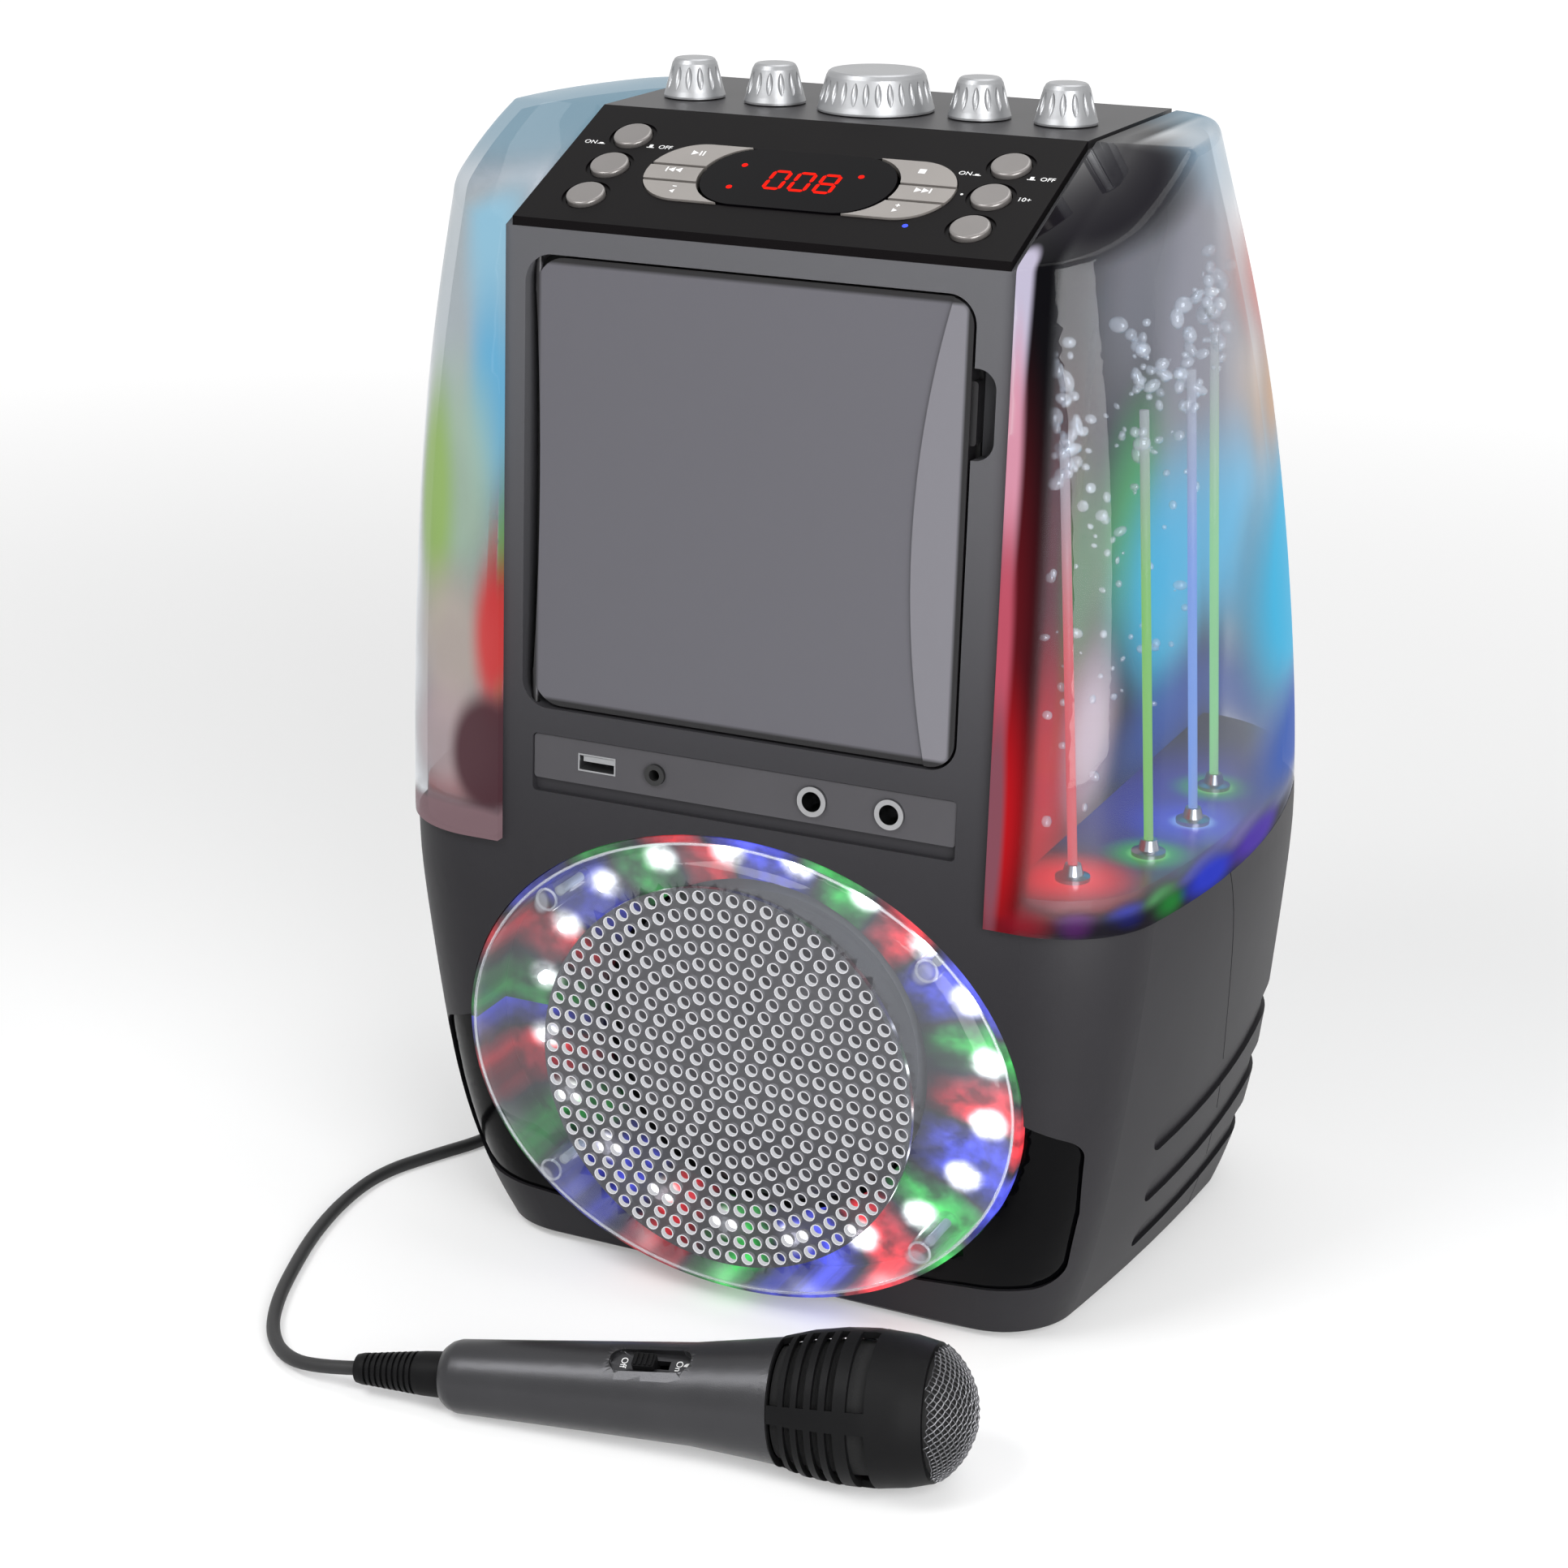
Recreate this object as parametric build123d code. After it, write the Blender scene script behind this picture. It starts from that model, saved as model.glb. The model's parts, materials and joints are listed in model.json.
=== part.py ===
from build123d import *
import os
from math import asin, atan2, cos, degrees, floor, pi, radians, sin, sqrt, tan

# Karaoke machine: a disc player stands on a wide speaker base, between two clear water tanks with
# lit fountain jets.  A corded microphone lies in front of it.
# Millimetres, +Z up, +X to the viewer's right, +Y to the back; the front looks along -Y.
# X = 0 is the machine's plane of symmetry and Z = 0 is the table.

# ---------------------------------------------------------------- driving dimensions
WALL = 2.8            # moulded shell wall
GAP = 0.3             # clearance between neighbouring pieces
LIP = 1.2             # how far a recess edge stands above the piece sunk in it

FOOT_H = 2.0          # rubber feet
FOOT_R = 9.0
FOOT_CHAMFER = 1.5    # bevel round the underside
FOOT_X = 88.0
FOOT_FRONT_Y = 28.0
FOOT_REAR_Y = 140.0

DECK_Z = 150.0        # top of the speaker base, which carries the tanks
FRONT_Z = 349.0       # front edge of the control panel
TOP_Z = 375.0         # flat top with the knobs
PANEL_FOOT_Y = -15.6  # front panel at deck height
FRONT_LEAN = 3.0      # degrees that the front panel leans back
RIDGE_Y = 54.5        # where the control panel meets the flat top
REAR_FOOT_Y = 183.0   # back at deck height
REAR_LEAN = 26.0      # how far the back leans in towards the top, in a straight line
REAR_CURVE = 26.0     # and by its curve
TOWER_HALF = 83.5     # half width of the disc tower between the tanks
PANEL_HALF = 81.2     # half width of the control and top panels
TANK_WALL = 3.6       # clear tank wall
TANK_PROUD = 2.7      # how far the tanks stand in front of the panel
LID_R = 3.0           # rounded edge of the tank lids
PART_DECK_Y = 60.0    # parting line of the shells at deck height
PART_FOOT_Y = 114.0   # and at the table
SEAM_W = 0.6          # shadow gap along the parting line
SEAM_DEPTH = 0.6
PANEL_T = 2.5         # control and top panels

# plan outlines: height, half width at the front, middle and back, front y, rear y, corner radii
BASE_PLANS = [
    (FOOT_H, 98.0, 109.0, 113.0, 1.0, 168.0, 26.0, 34.0),
    (20.0, 103.8, 116.4, 116.5, -5.0, 174.0, 28.0, 36.0),
    (45.0, 109.4, 123.8, 118.6, -10.5, 178.0, 30.0, 38.0),
    (80.0, 114.6, 130.0, 119.8, -14.0, 181.0, 32.0, 40.0),
    (112.0, 118.0, 134.4, 120.3, -15.4, 182.5, 33.0, 40.0),
    (DECK_Z, 120.8, 137.0, 120.0, PANEL_FOOT_Y, REAR_FOOT_Y, 34.0, 40.0),
]
# tank outlines: height, half width at the front, middle and back, corner radii
TANK_PLANS = [
    (DECK_Z, 120.8, 137.0, 120.0, 34.0, 40.0),
    (200.0, 121.4, 135.2, 118.5, 34.0, 38.0),
    (250.0, 120.4, 131.8, 114.8, 34.0, 36.0),
    (300.0, 115.8, 126.4, 108.8, 34.0, 33.0),
    (350.0, 106.4, 118.6, 98.8, 34.0, 30.0),
    (390.0, 98.0, 112.6, 88.8, 34.0, 26.0),
]

# ---------------------------------------------------------------- lens, reflector and speaker
LENS_Z = 85.0         # height of the speaker axis
LENS_Y = -15.0        # plane of the lens edge
LENS_A = 95.5         # half width and half height of the oval
LENS_B = 76.5
LENS_RISE = 9.0       # how far the lens stands forward
LENS_T = 2.6
HOLE_RINGS = 8        # rings of sound holes round the middle one
HOLE_PITCH = 7.7
HOLE_R = 1.65
GRILLE_R = 64.6       # flat round field that holds the sound holes
BOSS_X = 66.0         # clear pillars that the lens is screwed on by, from behind
BOSS_Z = 48.0
BOSS_R = 4.2
BOSS_BORE_TOP = -5.0  # blind end of their screw holes, from the lens edge
POD_WALL = 2.2        # elliptical drum round the speaker
POD_DEPTH = 22.0
REFLECTOR_DEPTH = 19.0
REFLECTOR_T = 3.0
SPEAKER_HOLE_R = 58.0
LED_COUNT = 20
LED_R = 2.2
LED_H = 3.4
LED_A = 80.0
LED_B = 66.8
BASKET_R = 68.0
BASKET_T = 3.0
BASKET_DEPTH = 34.0
MAGNET_R = 38.0
MAGNET_H = 18.0
TOP_PLATE_T = 4.0
COIL_R = 12.6         # middle of the voice coil
CONE_TRAVEL = 1.5

# glossy panel round the foot of the lens: its corners from behind the lens, by the shoulder and the
# side, down to the middle of the foot
TRIM_CORNERS = [(90.0, 88.5), (114.0, 78.0), (111.5, 52.0), (105.5, 23.5), (0.0, 14.0)]
TRIM_SHOULDER_R = 7.0
TRIM_LOW_R = 12.0
TRIM_DEPTH = 3.4
TRIM_T = 2.0

# ---------------------------------------------------------------- disc compartment
DOOR_X = -2.5         # middle of the disc door
DOOR_Z = 267.1
RECESS_W = 148.1
RECESS_H = 142.8
RECESS_R = 9.0
RECESS_DEPTH = 15.0
DOOR_GAP = 0.9
DOOR_T = 5.0
DOOR_SINK = 1.4       # door face below the front panel
DOOR_EDGE = 2.4       # gap beside the door's left corners
DOOR_BOW = 2.5        # and how much it widens by at half height
DOOR_CORNER_R = 10.0  # left corners, rounder than the recess so that they swing clear
HINGE_PIN_R = 1.1     # the door turns on a pin at each left corner
HINGE_PIN_L = 2.0
DOOR_OPEN = 90.0      # degrees
BAND_RISE = 1.2       # raised band on the opening side
NOTCH_Z = 304.2
NOTCH_H = 27.0
NOTCH_W = 7.0
NOTCH_DEPTH = 9.0
TAB_H = 19.0
TAB_W = 1.8
DISC_R = 60.0
WELL_R = 62.0
WELL_RIM_W = -8.2     # plane of the disc well's rim, behind the front panel
WELL_DEPTH = 4.6
WELL_T = 2.5
HUB_R = 7.4
TURNTABLE_R = 14.5
SPINDLE_HOLE_R = 17.0
SLED_SLOT_W = 15.0
SLED_SLOT_END = 59.0
SLED_TRAVEL = 22.0

# ---------------------------------------------------------------- jack strip
STRIP_W = 144.6
STRIP_H = 15.0
STRIP_DROP = 15.9     # middle of the strip below the door recess
STRIP_Z = DOOR_Z - RECESS_H / 2 - STRIP_DROP
STRIP_T = 1.6
STRIP_POCKET_H = 19.0
MIC_BORE_R = 3.2      # 6.35 mm plug
MIC_JACK_X = (25.0, 50.8)
MIC_JACK_L = 28.0
MIC_BUSH_R = 4.8
LINE_BORE_R = 1.8     # 3.5 mm plug
LINE_JACK_X = -29.0
LINE_BUSH_R = 3.4
LINE_JACK_L = 14.0
USB_X = -49.9
USB_W = 13.3
USB_H = 5.7
USB_L = 15.0
BUSH_PROUD = 1.2

# ---------------------------------------------------------------- control panel
BUTTON_R = 6.1
BUTTON_X = 63.0
BUTTON_S = (14.4, 31.4, 48.4)   # places up the sloped panel
BUTTON_PROUD = 1.1
BUTTON_RING = 1.5
KEYS_X = 1.0          # middle of the oval key group
KEYS_S = 30.9
KEYS_HALF = 50.5
KEYS_H = 30.8
WINDOW_HALF = 31.3
KEY_SPLIT = 1.2       # gap between keys
KEY_LOW_H = 9.6       # bottom key
KEY_MID_H = 8.6
KEY_PROUD = 0.6
KEY_T = 3.4
STEM_R = 1.5
SWITCH_W = 6.0
BOARD_W = -13.0       # top face of the control board below the sloped panel
BOARD_T = 1.6
SWITCH_H = 6.2
SHORT_TRAVEL = 1.0
LATCH_TRAVEL = 2.0

KNOB_Y = 83.0
KNOB_X = (-63.5, -35.0, 35.0, 63.5)
KNOB_R = 9.9
KNOB_TOP_R = 6.5
BIG_KNOB_R = 18.5
BIG_KNOB_TOP_R = 15.0
KNOB_H = 12.6
KNOB_FLUTES = 14
BIG_KNOB_FLUTES = 28
KNOB_STEM_R = 3.0
POT_R = 8.0
POT_H = 9.0

# ---------------------------------------------------------------- fountains
FLOOR_H = 10.5        # fountain floor above the deck
FLOOR_T = 2.5
JET_PLACES = ((102.6, 7.1), (116.2, 37.7), (119.4, 71.1), (115.2, 105.2))
JET_R = 3.4
JET_BORE_R = 1.5
JET_H = 5.0
PUMP_R = 14.0
PUMP_H = 24.0
PUMP_AT = (104.0, 70.0)

# ---------------------------------------------------------------- side grooves, back and screws
GROOVE_R = 5.6
GROOVE_DEPTH = 1.5
GROOVE_Z = (64.0, 42.0, 20.5)
GROOVE_START_Y = (43.0, 49.0, 57.0)
GROOVE_RISE = 4.0
BACK_POCKET_W = 92.0
BACK_POCKET_H = 26.0
BACK_POCKET_Z = 62.0
BACK_POCKET_D = 9.0
RCA_R = 4.15
RCA_L = 7.6
RCA_X = (-12.0, 6.0, 24.0)
POWER_X = -34.0
POWER_R = 5.5
POWER_BORE_R = 3.0
VENT_COUNT = 7
VENT_W = 64.0
VENT_H = 2.6
VENT_PITCH = 7.0
VENT_Z = 215.0
SCREW_HEAD_R = 3.2
SCREW_R = 1.5
SCREW_L = 12.0

# ---------------------------------------------------------------- microphone and its cord
MIC_TAIL = (-48.8, -109.9)      # where the handle's tail touches down
MIC_YAW = 8.8
MIC_ROLL = -22.0                # the switch looks up and a little forward
MIC_TAIL_R = 11.3
MIC_SEAM = 104.8
MIC_SEAM_R = 19.3
MIC_HEAD_R = 23.4
MIC_HEAD_AT = 134.0
MIC_RIM = 152.3
MIC_RIM_R = 20.6
MIC_DOME = 11.5
MIC_WALL = 2.0
RELIEF_L = 33.0
SWITCH_AT = 66.0
SWITCH_POCKET_L = 26.0
SWITCH_POCKET_W = 8.4
SWITCH_TRAVEL = 4.0
CORD_R = 2.25
CORD_COIL_R = 25.0              # middle of the turns of the put-away length
CORD_COIL_W = 14.0
CORD_COIL_H = 19.0
CORD_COIL_AT = (-52.0, 226.0)
CORD_COIL_TURNS = 12.5
PLUG_R = 3.175
PLUG_L = 31.0
PLUG_GRIP_R = 6.5
PLUG_GRIP_L = 38.0
PLUG_OUT = 34.4                 # its line behind the middle of the coil
PLUG_BACK = 8.4                 # its end, left of the middle
CORD_TURN_R = CORD_COIL_R + CORD_COIL_W / 2 - CORD_R
# the lying cord, from the strain relief to the coil: x, y, height of its middle
CORD_RUN = [
    (-97.0, -116.4, 5.6), (-112.0, -111.0, 3.2), (-125.0, -98.0, CORD_R),
    (-134.5, -80.0, CORD_R), (-142.0, -59.0, CORD_R), (-149.0, -36.0, CORD_R),
    (-153.5, -10.0, CORD_R), (-153.0, 14.0, CORD_R), (-143.5, 34.0, CORD_R),
    (-133.0, 53.0, CORD_R), (-129.0, 76.0, CORD_R), (-130.0, 102.0, CORD_R),
    (-135.0, 130.0, CORD_R), (-136.0, 158.0, CORD_R), (-127.0, 182.0, CORD_R),
    (-105.0, CORD_COIL_AT[1] - CORD_TURN_R, CORD_R),
]


# ---------------------------------------------------------------- frames
def panel_y(z):
    """Front panel's y at a height."""
    return PANEL_FOOT_Y + (z - DECK_Z) * tan(radians(FRONT_LEAN))


def rear_y(z):
    """Back of the tower and tanks at a height."""
    t = (z - DECK_Z) / (TOP_Z - DECK_Z)
    return REAR_FOOT_Y - REAR_LEAN * t - REAR_CURVE * t * t


PANEL_EDGE_Y = panel_y(FRONT_Z)
SLOPE = atan2(TOP_Z - FRONT_Z, RIDGE_Y - PANEL_EDGE_Y)
SLOPE_L = sqrt((TOP_Z - FRONT_Z) ** 2 + (RIDGE_Y - PANEL_EDGE_Y) ** 2)
TOP_REAR_Y = rear_y(TOP_Z)
LEAN = radians(FRONT_LEAN)

# u to the right, v up the surface, w out of it
FRONT = Plane(origin=(0, panel_y(DOOR_Z), DOOR_Z), x_dir=(1, 0, 0), z_dir=(0, -cos(LEAN), sin(LEAN)))
SLOPED = Plane(origin=(0, PANEL_EDGE_Y, FRONT_Z), x_dir=(1, 0, 0), z_dir=(0, -sin(SLOPE), cos(SLOPE)))
TOP = Plane(origin=(0, 0, TOP_Z), x_dir=(1, 0, 0), z_dir=(0, 0, 1))
LENS = Plane(origin=(0, LENS_Y, LENS_Z), x_dir=(1, 0, 0), z_dir=(0, -1, 0))
BACK = Plane(origin=(0, REAR_FOOT_Y, BACK_POCKET_Z), x_dir=(-1, 0, 0), z_dir=(0, 1, 0))

MIC_TILT = asin((MIC_HEAD_R - MIC_TAIL_R) / MIC_HEAD_AT)
MIC_DIR = Vector(cos(MIC_TILT) * cos(radians(MIC_YAW)), cos(MIC_TILT) * sin(radians(MIC_YAW)),
                 sin(MIC_TILT))
MIC_UP = Vector(0, 0, 1).rotate(Axis((0, 0, 0), MIC_DIR), -MIC_ROLL)
MIC_AT = Vector(MIC_TAIL[0], MIC_TAIL[1], MIC_TAIL_R / cos(MIC_TILT))
# local x runs from the tail to the head, local z out through the switch
MIC = Plane(origin=MIC_AT, x_dir=MIC_DIR, z_dir=MIC_UP - MIC_DIR * MIC_UP.dot(MIC_DIR))


# ---------------------------------------------------------------- helpers
def prism(plane, sketch, top, bottom):
    """A sketch on a plane, made solid between two heights above it."""
    return extrude(plane.offset(bottom) * sketch, amount=top - bottom)


def disc(plane, x, y, radius, top, bottom):
    return prism(plane, Pos(x, y) * Circle(radius), top, bottom)


def plan_face(z, front_x, mid_x, rear_x, front_y, back_y, front_r, rear_r, inset=0.0):
    """One level of the body: flat front and back, bowed sides, round corners."""
    fx, mx, rx = front_x - inset, mid_x - inset, rear_x - inset
    fy, by = front_y + inset, back_y - inset
    my = (fy + by) / 2
    with BuildSketch(Plane.XY.offset(z)) as plan:
        with BuildLine():
            Line((-fx, fy), (fx, fy))
            ThreePointArc((fx, fy), (mx, my), (rx, by))
            Line((rx, by), (-rx, by))
            ThreePointArc((-rx, by), (-mx, my), (-fx, fy))
        make_face()
        fillet(plan.vertices().filter_by_position(Axis.Y, fy - 1, fy + 1), front_r - inset)
        fillet(plan.vertices().filter_by_position(Axis.Y, by - 1, by + 1), rear_r - inset)
    return plan.sketch.faces()[0]


def base_body(inset=0.0, end_inset=0.0):
    """The speaker base as one smooth solid, drawn in by a wall."""
    faces = []
    for row, (z, *plan) in enumerate(BASE_PLANS):
        shift = end_inset if row == 0 else (-end_inset if row == len(BASE_PLANS) - 1 else 0.0)
        faces.append(plan_face(z + shift, *plan, inset=inset))
    return loft(faces)


def tank_body(inset=0.0, foot=0.0):
    """Both tanks' outer form, drawn in by a wall and started above the deck."""
    faces = []
    for row, (z, front_x, mid_x, rear_x, front_r, rear_r) in enumerate(TANK_PLANS):
        level = z + (foot if row == 0 else 0.0)
        faces.append(plan_face(level, front_x, mid_x, rear_x, panel_y(z) - TANK_PROUD, rear_y(z),
                               front_r, rear_r, inset=inset))
    return loft(faces)


def below_top(lower=0.0):
    """Everything under the sloped control panel and the flat top, lowered by a thickness."""
    s, c = sin(SLOPE), cos(SLOPE)
    reach = 60.0
    ridge_back = lower * (1 - c) / s
    y0, z0 = PANEL_EDGE_Y + lower * s - reach * c, FRONT_Z - lower * c - reach * s
    points = [(y0, 0), (y0, z0), (RIDGE_Y + ridge_back, TOP_Z - lower), (300, TOP_Z - lower), (300, 0)]
    return extrude(Plane.YZ * Polygon(*points, align=None), amount=200, both=True)


def tower(inset, half_width, lower):
    """The disc tower: its side profile carried across."""
    foot = DECK_Z - 30
    top = TOP_Z + 20
    mid = (DECK_Z + TOP_Z) / 2
    with BuildSketch(Plane.YZ) as side:
        with BuildLine():
            Polyline((rear_y(DECK_Z) - 1 - inset, DECK_Z), (rear_y(DECK_Z) - 1 - inset, foot),
                     (panel_y(DECK_Z) + 1 + inset, foot), (panel_y(DECK_Z) + inset, DECK_Z),
                     (panel_y(top) + inset, top), (rear_y(top) - inset, top))
            ThreePointArc((rear_y(top) - inset, top), (rear_y(mid) - inset, mid),
                          (rear_y(DECK_Z) - 1 - inset, DECK_Z))
        make_face()
    body = extrude(side.sketch, amount=half_width, both=True)
    return body & below_top(lower) if lower is not None else body


def sink(shell, outer, plane, sketch, depth):
    """Sink a pocket into a shell and back it with a wall of its own."""
    backing = prism(plane, offset(sketch, amount=WALL), 30, -depth - WALL) & outer
    return (shell + backing) - prism(plane, sketch, 30, -depth)


def revolved(plane, points):
    """A turned piece: radius and height pairs about the plane's normal."""
    profile = Plane.XZ * Polygon(*points, align=None)
    return plane.location * revolve(profile, Axis.Z)


# ---------------------------------------------------------------- outlines on the front
def recess_outline(grow=0.0):
    return Pos(DOOR_X, 0) * RectangleRounded(RECESS_W + 2 * grow, RECESS_H + 2 * grow, RECESS_R + grow)


def notch_outline():
    """Half-pill finger notch that opens into the door recess."""
    edge = DOOR_X + RECESS_W / 2
    pill = Pos(edge, NOTCH_Z - DOOR_Z) * RectangleRounded(2 * NOTCH_W, NOTCH_H, NOTCH_W - 1.0)
    return pill


def trim_outline(grow=0.0):
    """Outline of the glossy panel, grown or drawn in by a clearance."""
    mirrored = [(-x, z) for x, z in reversed(TRIM_CORNERS)][1:]
    shoulder_z, low_z = TRIM_CORNERS[1][1], TRIM_CORNERS[3][1]
    with BuildSketch() as plan:
        Polygon(*TRIM_CORNERS, *mirrored, align=None)
        fillet(plan.vertices().filter_by_position(Axis.Y, low_z - 0.1, low_z + 0.1), TRIM_LOW_R)
        fillet(plan.vertices().filter_by_position(Axis.Y, shoulder_z - 0.1, shoulder_z + 0.1),
               TRIM_SHOULDER_R)
    return offset(plan.sketch, amount=grow) if grow else plan.sketch


def boss_places():
    return [(x, z) for x in (-BOSS_X, BOSS_X) for z in (-BOSS_Z, BOSS_Z)]


def oval(half_x, half_z, top, bottom):
    return prism(LENS, Ellipse(half_x, half_z), top, bottom)


POD_A = LENS_A + 1.6
POD_B = LENS_B + 1.6
BASKET_W = -REFLECTOR_DEPTH - REFLECTOR_T     # front of the speaker's flange, from the lens edge


# ---------------------------------------------------------------- shells
def groove(side, z, start_y):
    """One long shallow finger of the side pattern, as a sunk rod with a round end."""
    reach = 260.0
    x = side * 138.0
    rod = Pos(x, start_y + reach / 2, z) * Box(60, reach, 2 * GROOVE_R)
    nose = Pos(x, start_y, z) * Rot(0, 90, 0) * Cylinder(GROOVE_R, 60)
    return (rod + nose).rotate(Axis((x, start_y, z), (1, 0, 0)), GROOVE_RISE)


def shells():
    """Front and rear halves of the moulded body."""
    base = base_body()
    foot_edges = [e for e in base.edges() if all(abs(e.position_at(t).Z - FOOT_H) < 0.05 for t in (0.1, 0.5, 0.9))]
    outer = chamfer(foot_edges, FOOT_CHAMFER) + tower(0.0, TOWER_HALF, PANEL_T)
    cavity = base_body(WALL, WALL) + tower(WALL, TOWER_HALF - WALL, None)
    shell = outer - cavity

    # door recess: a deep frame that the disc well closes from behind
    frame = prism(FRONT, recess_outline(WALL), 30, -RECESS_DEPTH) & outer
    shell = (shell + frame) - prism(FRONT, recess_outline(), 30, -RECESS_DEPTH - WALL)
    shell = sink(shell, outer, FRONT, notch_outline(), NOTCH_DEPTH)
    shell -= prism(FRONT, recess_outline(), 30, -RECESS_DEPTH - WALL)
    for end in (-1, 1):
        shell -= hinge_pin(end, HINGE_PIN_R + GAP, HINGE_PIN_L + GAP)

    # jack strip pocket
    strip_v = (STRIP_Z - DOOR_Z) / cos(LEAN)
    low = strip_v + STRIP_H / 2 - STRIP_POCKET_H
    pocket = Pos(0, low + STRIP_POCKET_H / 2) * RectangleRounded(STRIP_W + 2 * GAP, STRIP_POCKET_H, 1.5)
    shell = sink(shell, outer, FRONT, pocket, STRIP_T + 0.6)
    for x in MIC_JACK_X:
        shell -= disc(FRONT, x, strip_v, MIC_BUSH_R + GAP, 5, -12)
    shell -= disc(FRONT, LINE_JACK_X, strip_v, LINE_BUSH_R + GAP, 5, -12)
    shell -= prism(FRONT, Pos(USB_X, strip_v) * Rectangle(USB_W + 2 * GAP, USB_H + 2 * GAP), 5, -12)

    # sunk panel round the foot of the lens, then the opening for the speaker drum
    cup = oval(POD_A + GAP + WALL - 0.6, POD_B + GAP + WALL - 0.6, 30, BASKET_W - WALL) & outer
    shell += (prism(Plane.XZ, trim_outline(WALL), 40, -40) & outer) - base_body(TRIM_DEPTH + WALL)
    shell = (shell + cup) - (prism(Plane.XZ, trim_outline(), 40, -40) - base_body(TRIM_DEPTH))
    shell -= oval(POD_A + GAP, POD_B + GAP, 30, BASKET_W)
    shell -= disc(LENS, 0, 0, BASKET_R + 2, 0, BASKET_W - 20)
    for x, z in boss_places():
        shell -= disc(LENS, x, z, SCREW_R + 0.1, 0, BASKET_W - 20)

    for side in (-1, 1):
        for z, start_y in zip(GROOVE_Z, GROOVE_START_Y):
            shell -= groove(side, z, start_y) - base_body(GROOVE_DEPTH)

    # socket pocket and vents in the back
    back_outline = RectangleRounded(BACK_POCKET_W, BACK_POCKET_H, 3)
    shell = sink(shell, outer, BACK, back_outline, BACK_POCKET_D)
    for x in RCA_X:
        shell -= disc(BACK, -x, 0, RCA_R + 1.2 + GAP, 5, -30)
    shell -= disc(BACK, -POWER_X, 0, POWER_R + GAP, 5, -30)
    for row in range(VENT_COUNT):
        z = VENT_Z + row * VENT_PITCH
        shell -= Pos(0, rear_y(z), z) * Box(VENT_W, 24, VENT_H)
    for x, z in screw_places():
        shell -= disc(BACK, -x, z - BACK_POCKET_Z, SCREW_R + GAP, 5, -40)
        shell -= disc(BACK, -x, z - BACK_POCKET_Z, SCREW_HEAD_R + GAP, 5, -screw_sink(z))

    seam = Polygon((PART_FOOT_Y - SEAM_W / 2, 0), (PART_FOOT_Y + SEAM_W / 2, 0),
                   (PART_DECK_Y + SEAM_W / 2, DECK_Z), (PART_DECK_Y - SEAM_W / 2, DECK_Z), align=None)
    shell -= extrude(Plane.YZ * seam, amount=300, both=True) - base_body(SEAM_DEPTH)
    below = (PART_FOOT_Y - PART_DECK_Y) / DECK_Z * 10
    front_half = extrude(Plane.YZ * Polygon((-100, -10), (PART_FOOT_Y + below, -10),
                                            (PART_DECK_Y, DECK_Z), (PART_DECK_Y, 500), (-100, 500),
                                            align=None),
                         amount=300, both=True)
    return shell & front_half, shell - front_half


def screw_places():
    return [(-95.0, 30.0), (95.0, 30.0), (-95.0, 128.0), (95.0, 128.0), (-66.0, 300.0), (66.0, 300.0)]


def screw_sink(z):
    """Depth of a screw's seat below the plane of the back at deck height."""
    return (12.0 if z < BACK_POCKET_Z else 5.0) if z < DECK_Z else REAR_FOOT_Y - rear_y(z) + 4.0


# ---------------------------------------------------------------- disc door
DOOR_LEFT = DOOR_X - RECESS_W / 2 + DOOR_EDGE
HINGE_U = DOOR_LEFT + HINGE_PIN_R
HINGE_W = -DOOR_SINK - HINGE_PIN_R


def hinge_pin(end, radius, length):
    """Pin at the top or bottom of the door's left edge."""
    inside = DOOR_GAP + DOOR_CORNER_R + 1
    start = FRONT.location * Pos(HINGE_U, end * (RECESS_H / 2 - inside), HINGE_W)
    return start * Rot(-90 * end, 0, 0) * Cylinder(radius, inside + length,
                                                   align=(Align.CENTER, Align.CENTER, Align.MIN))


def disc_door():
    left, right = DOOR_LEFT, DOOR_X + RECESS_W / 2 - DOOR_GAP
    height = RECESS_H - 2 * DOOR_GAP
    top = height / 2
    # the left edge is a long hollow curve
    with BuildSketch() as face:
        with BuildLine():
            ThreePointArc((left, top), (left + DOOR_BOW, 0), (left, -top))
            Polyline((left, -top), (right, -top), (right, top), (left, top))
        make_face()
        fillet(face.vertices().group_by(Axis.X)[-1], RECESS_R - DOOR_GAP)
        fillet(face.vertices().group_by(Axis.X)[0], DOOR_CORNER_R)
        with Locations((right, NOTCH_Z - DOOR_Z)):
            RectangleRounded(2 * TAB_W, TAB_H, 1.2)
    plate = prism(FRONT, face.sketch, -DOOR_SINK, -DOOR_SINK - DOOR_T)
    # the raised band is bounded on the left by a long hollow curve
    with BuildSketch() as band:
        with BuildLine():
            ThreePointArc((right - 6.5, height / 2), (right - 16.5, -4), (right - 9.5, -height / 2))
            Polyline((right - 9.5, -height / 2), (right, -height / 2), (right, height / 2),
                     (right - 6.5, height / 2))
        make_face()
    band = prism(FRONT, band.sketch & face.sketch, -DOOR_SINK + BAND_RISE, -DOOR_SINK - 0.5)
    door = plate + band
    for end in (-1, 1):
        door += hinge_pin(end, HINGE_PIN_R, HINGE_PIN_L)
    # dished inside, clear of a spinning disc
    door -= prism(FRONT, Pos(DOOR_X, 0) * Circle(WELL_R), -DOOR_SINK - 2.2, -20)
    return door


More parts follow.
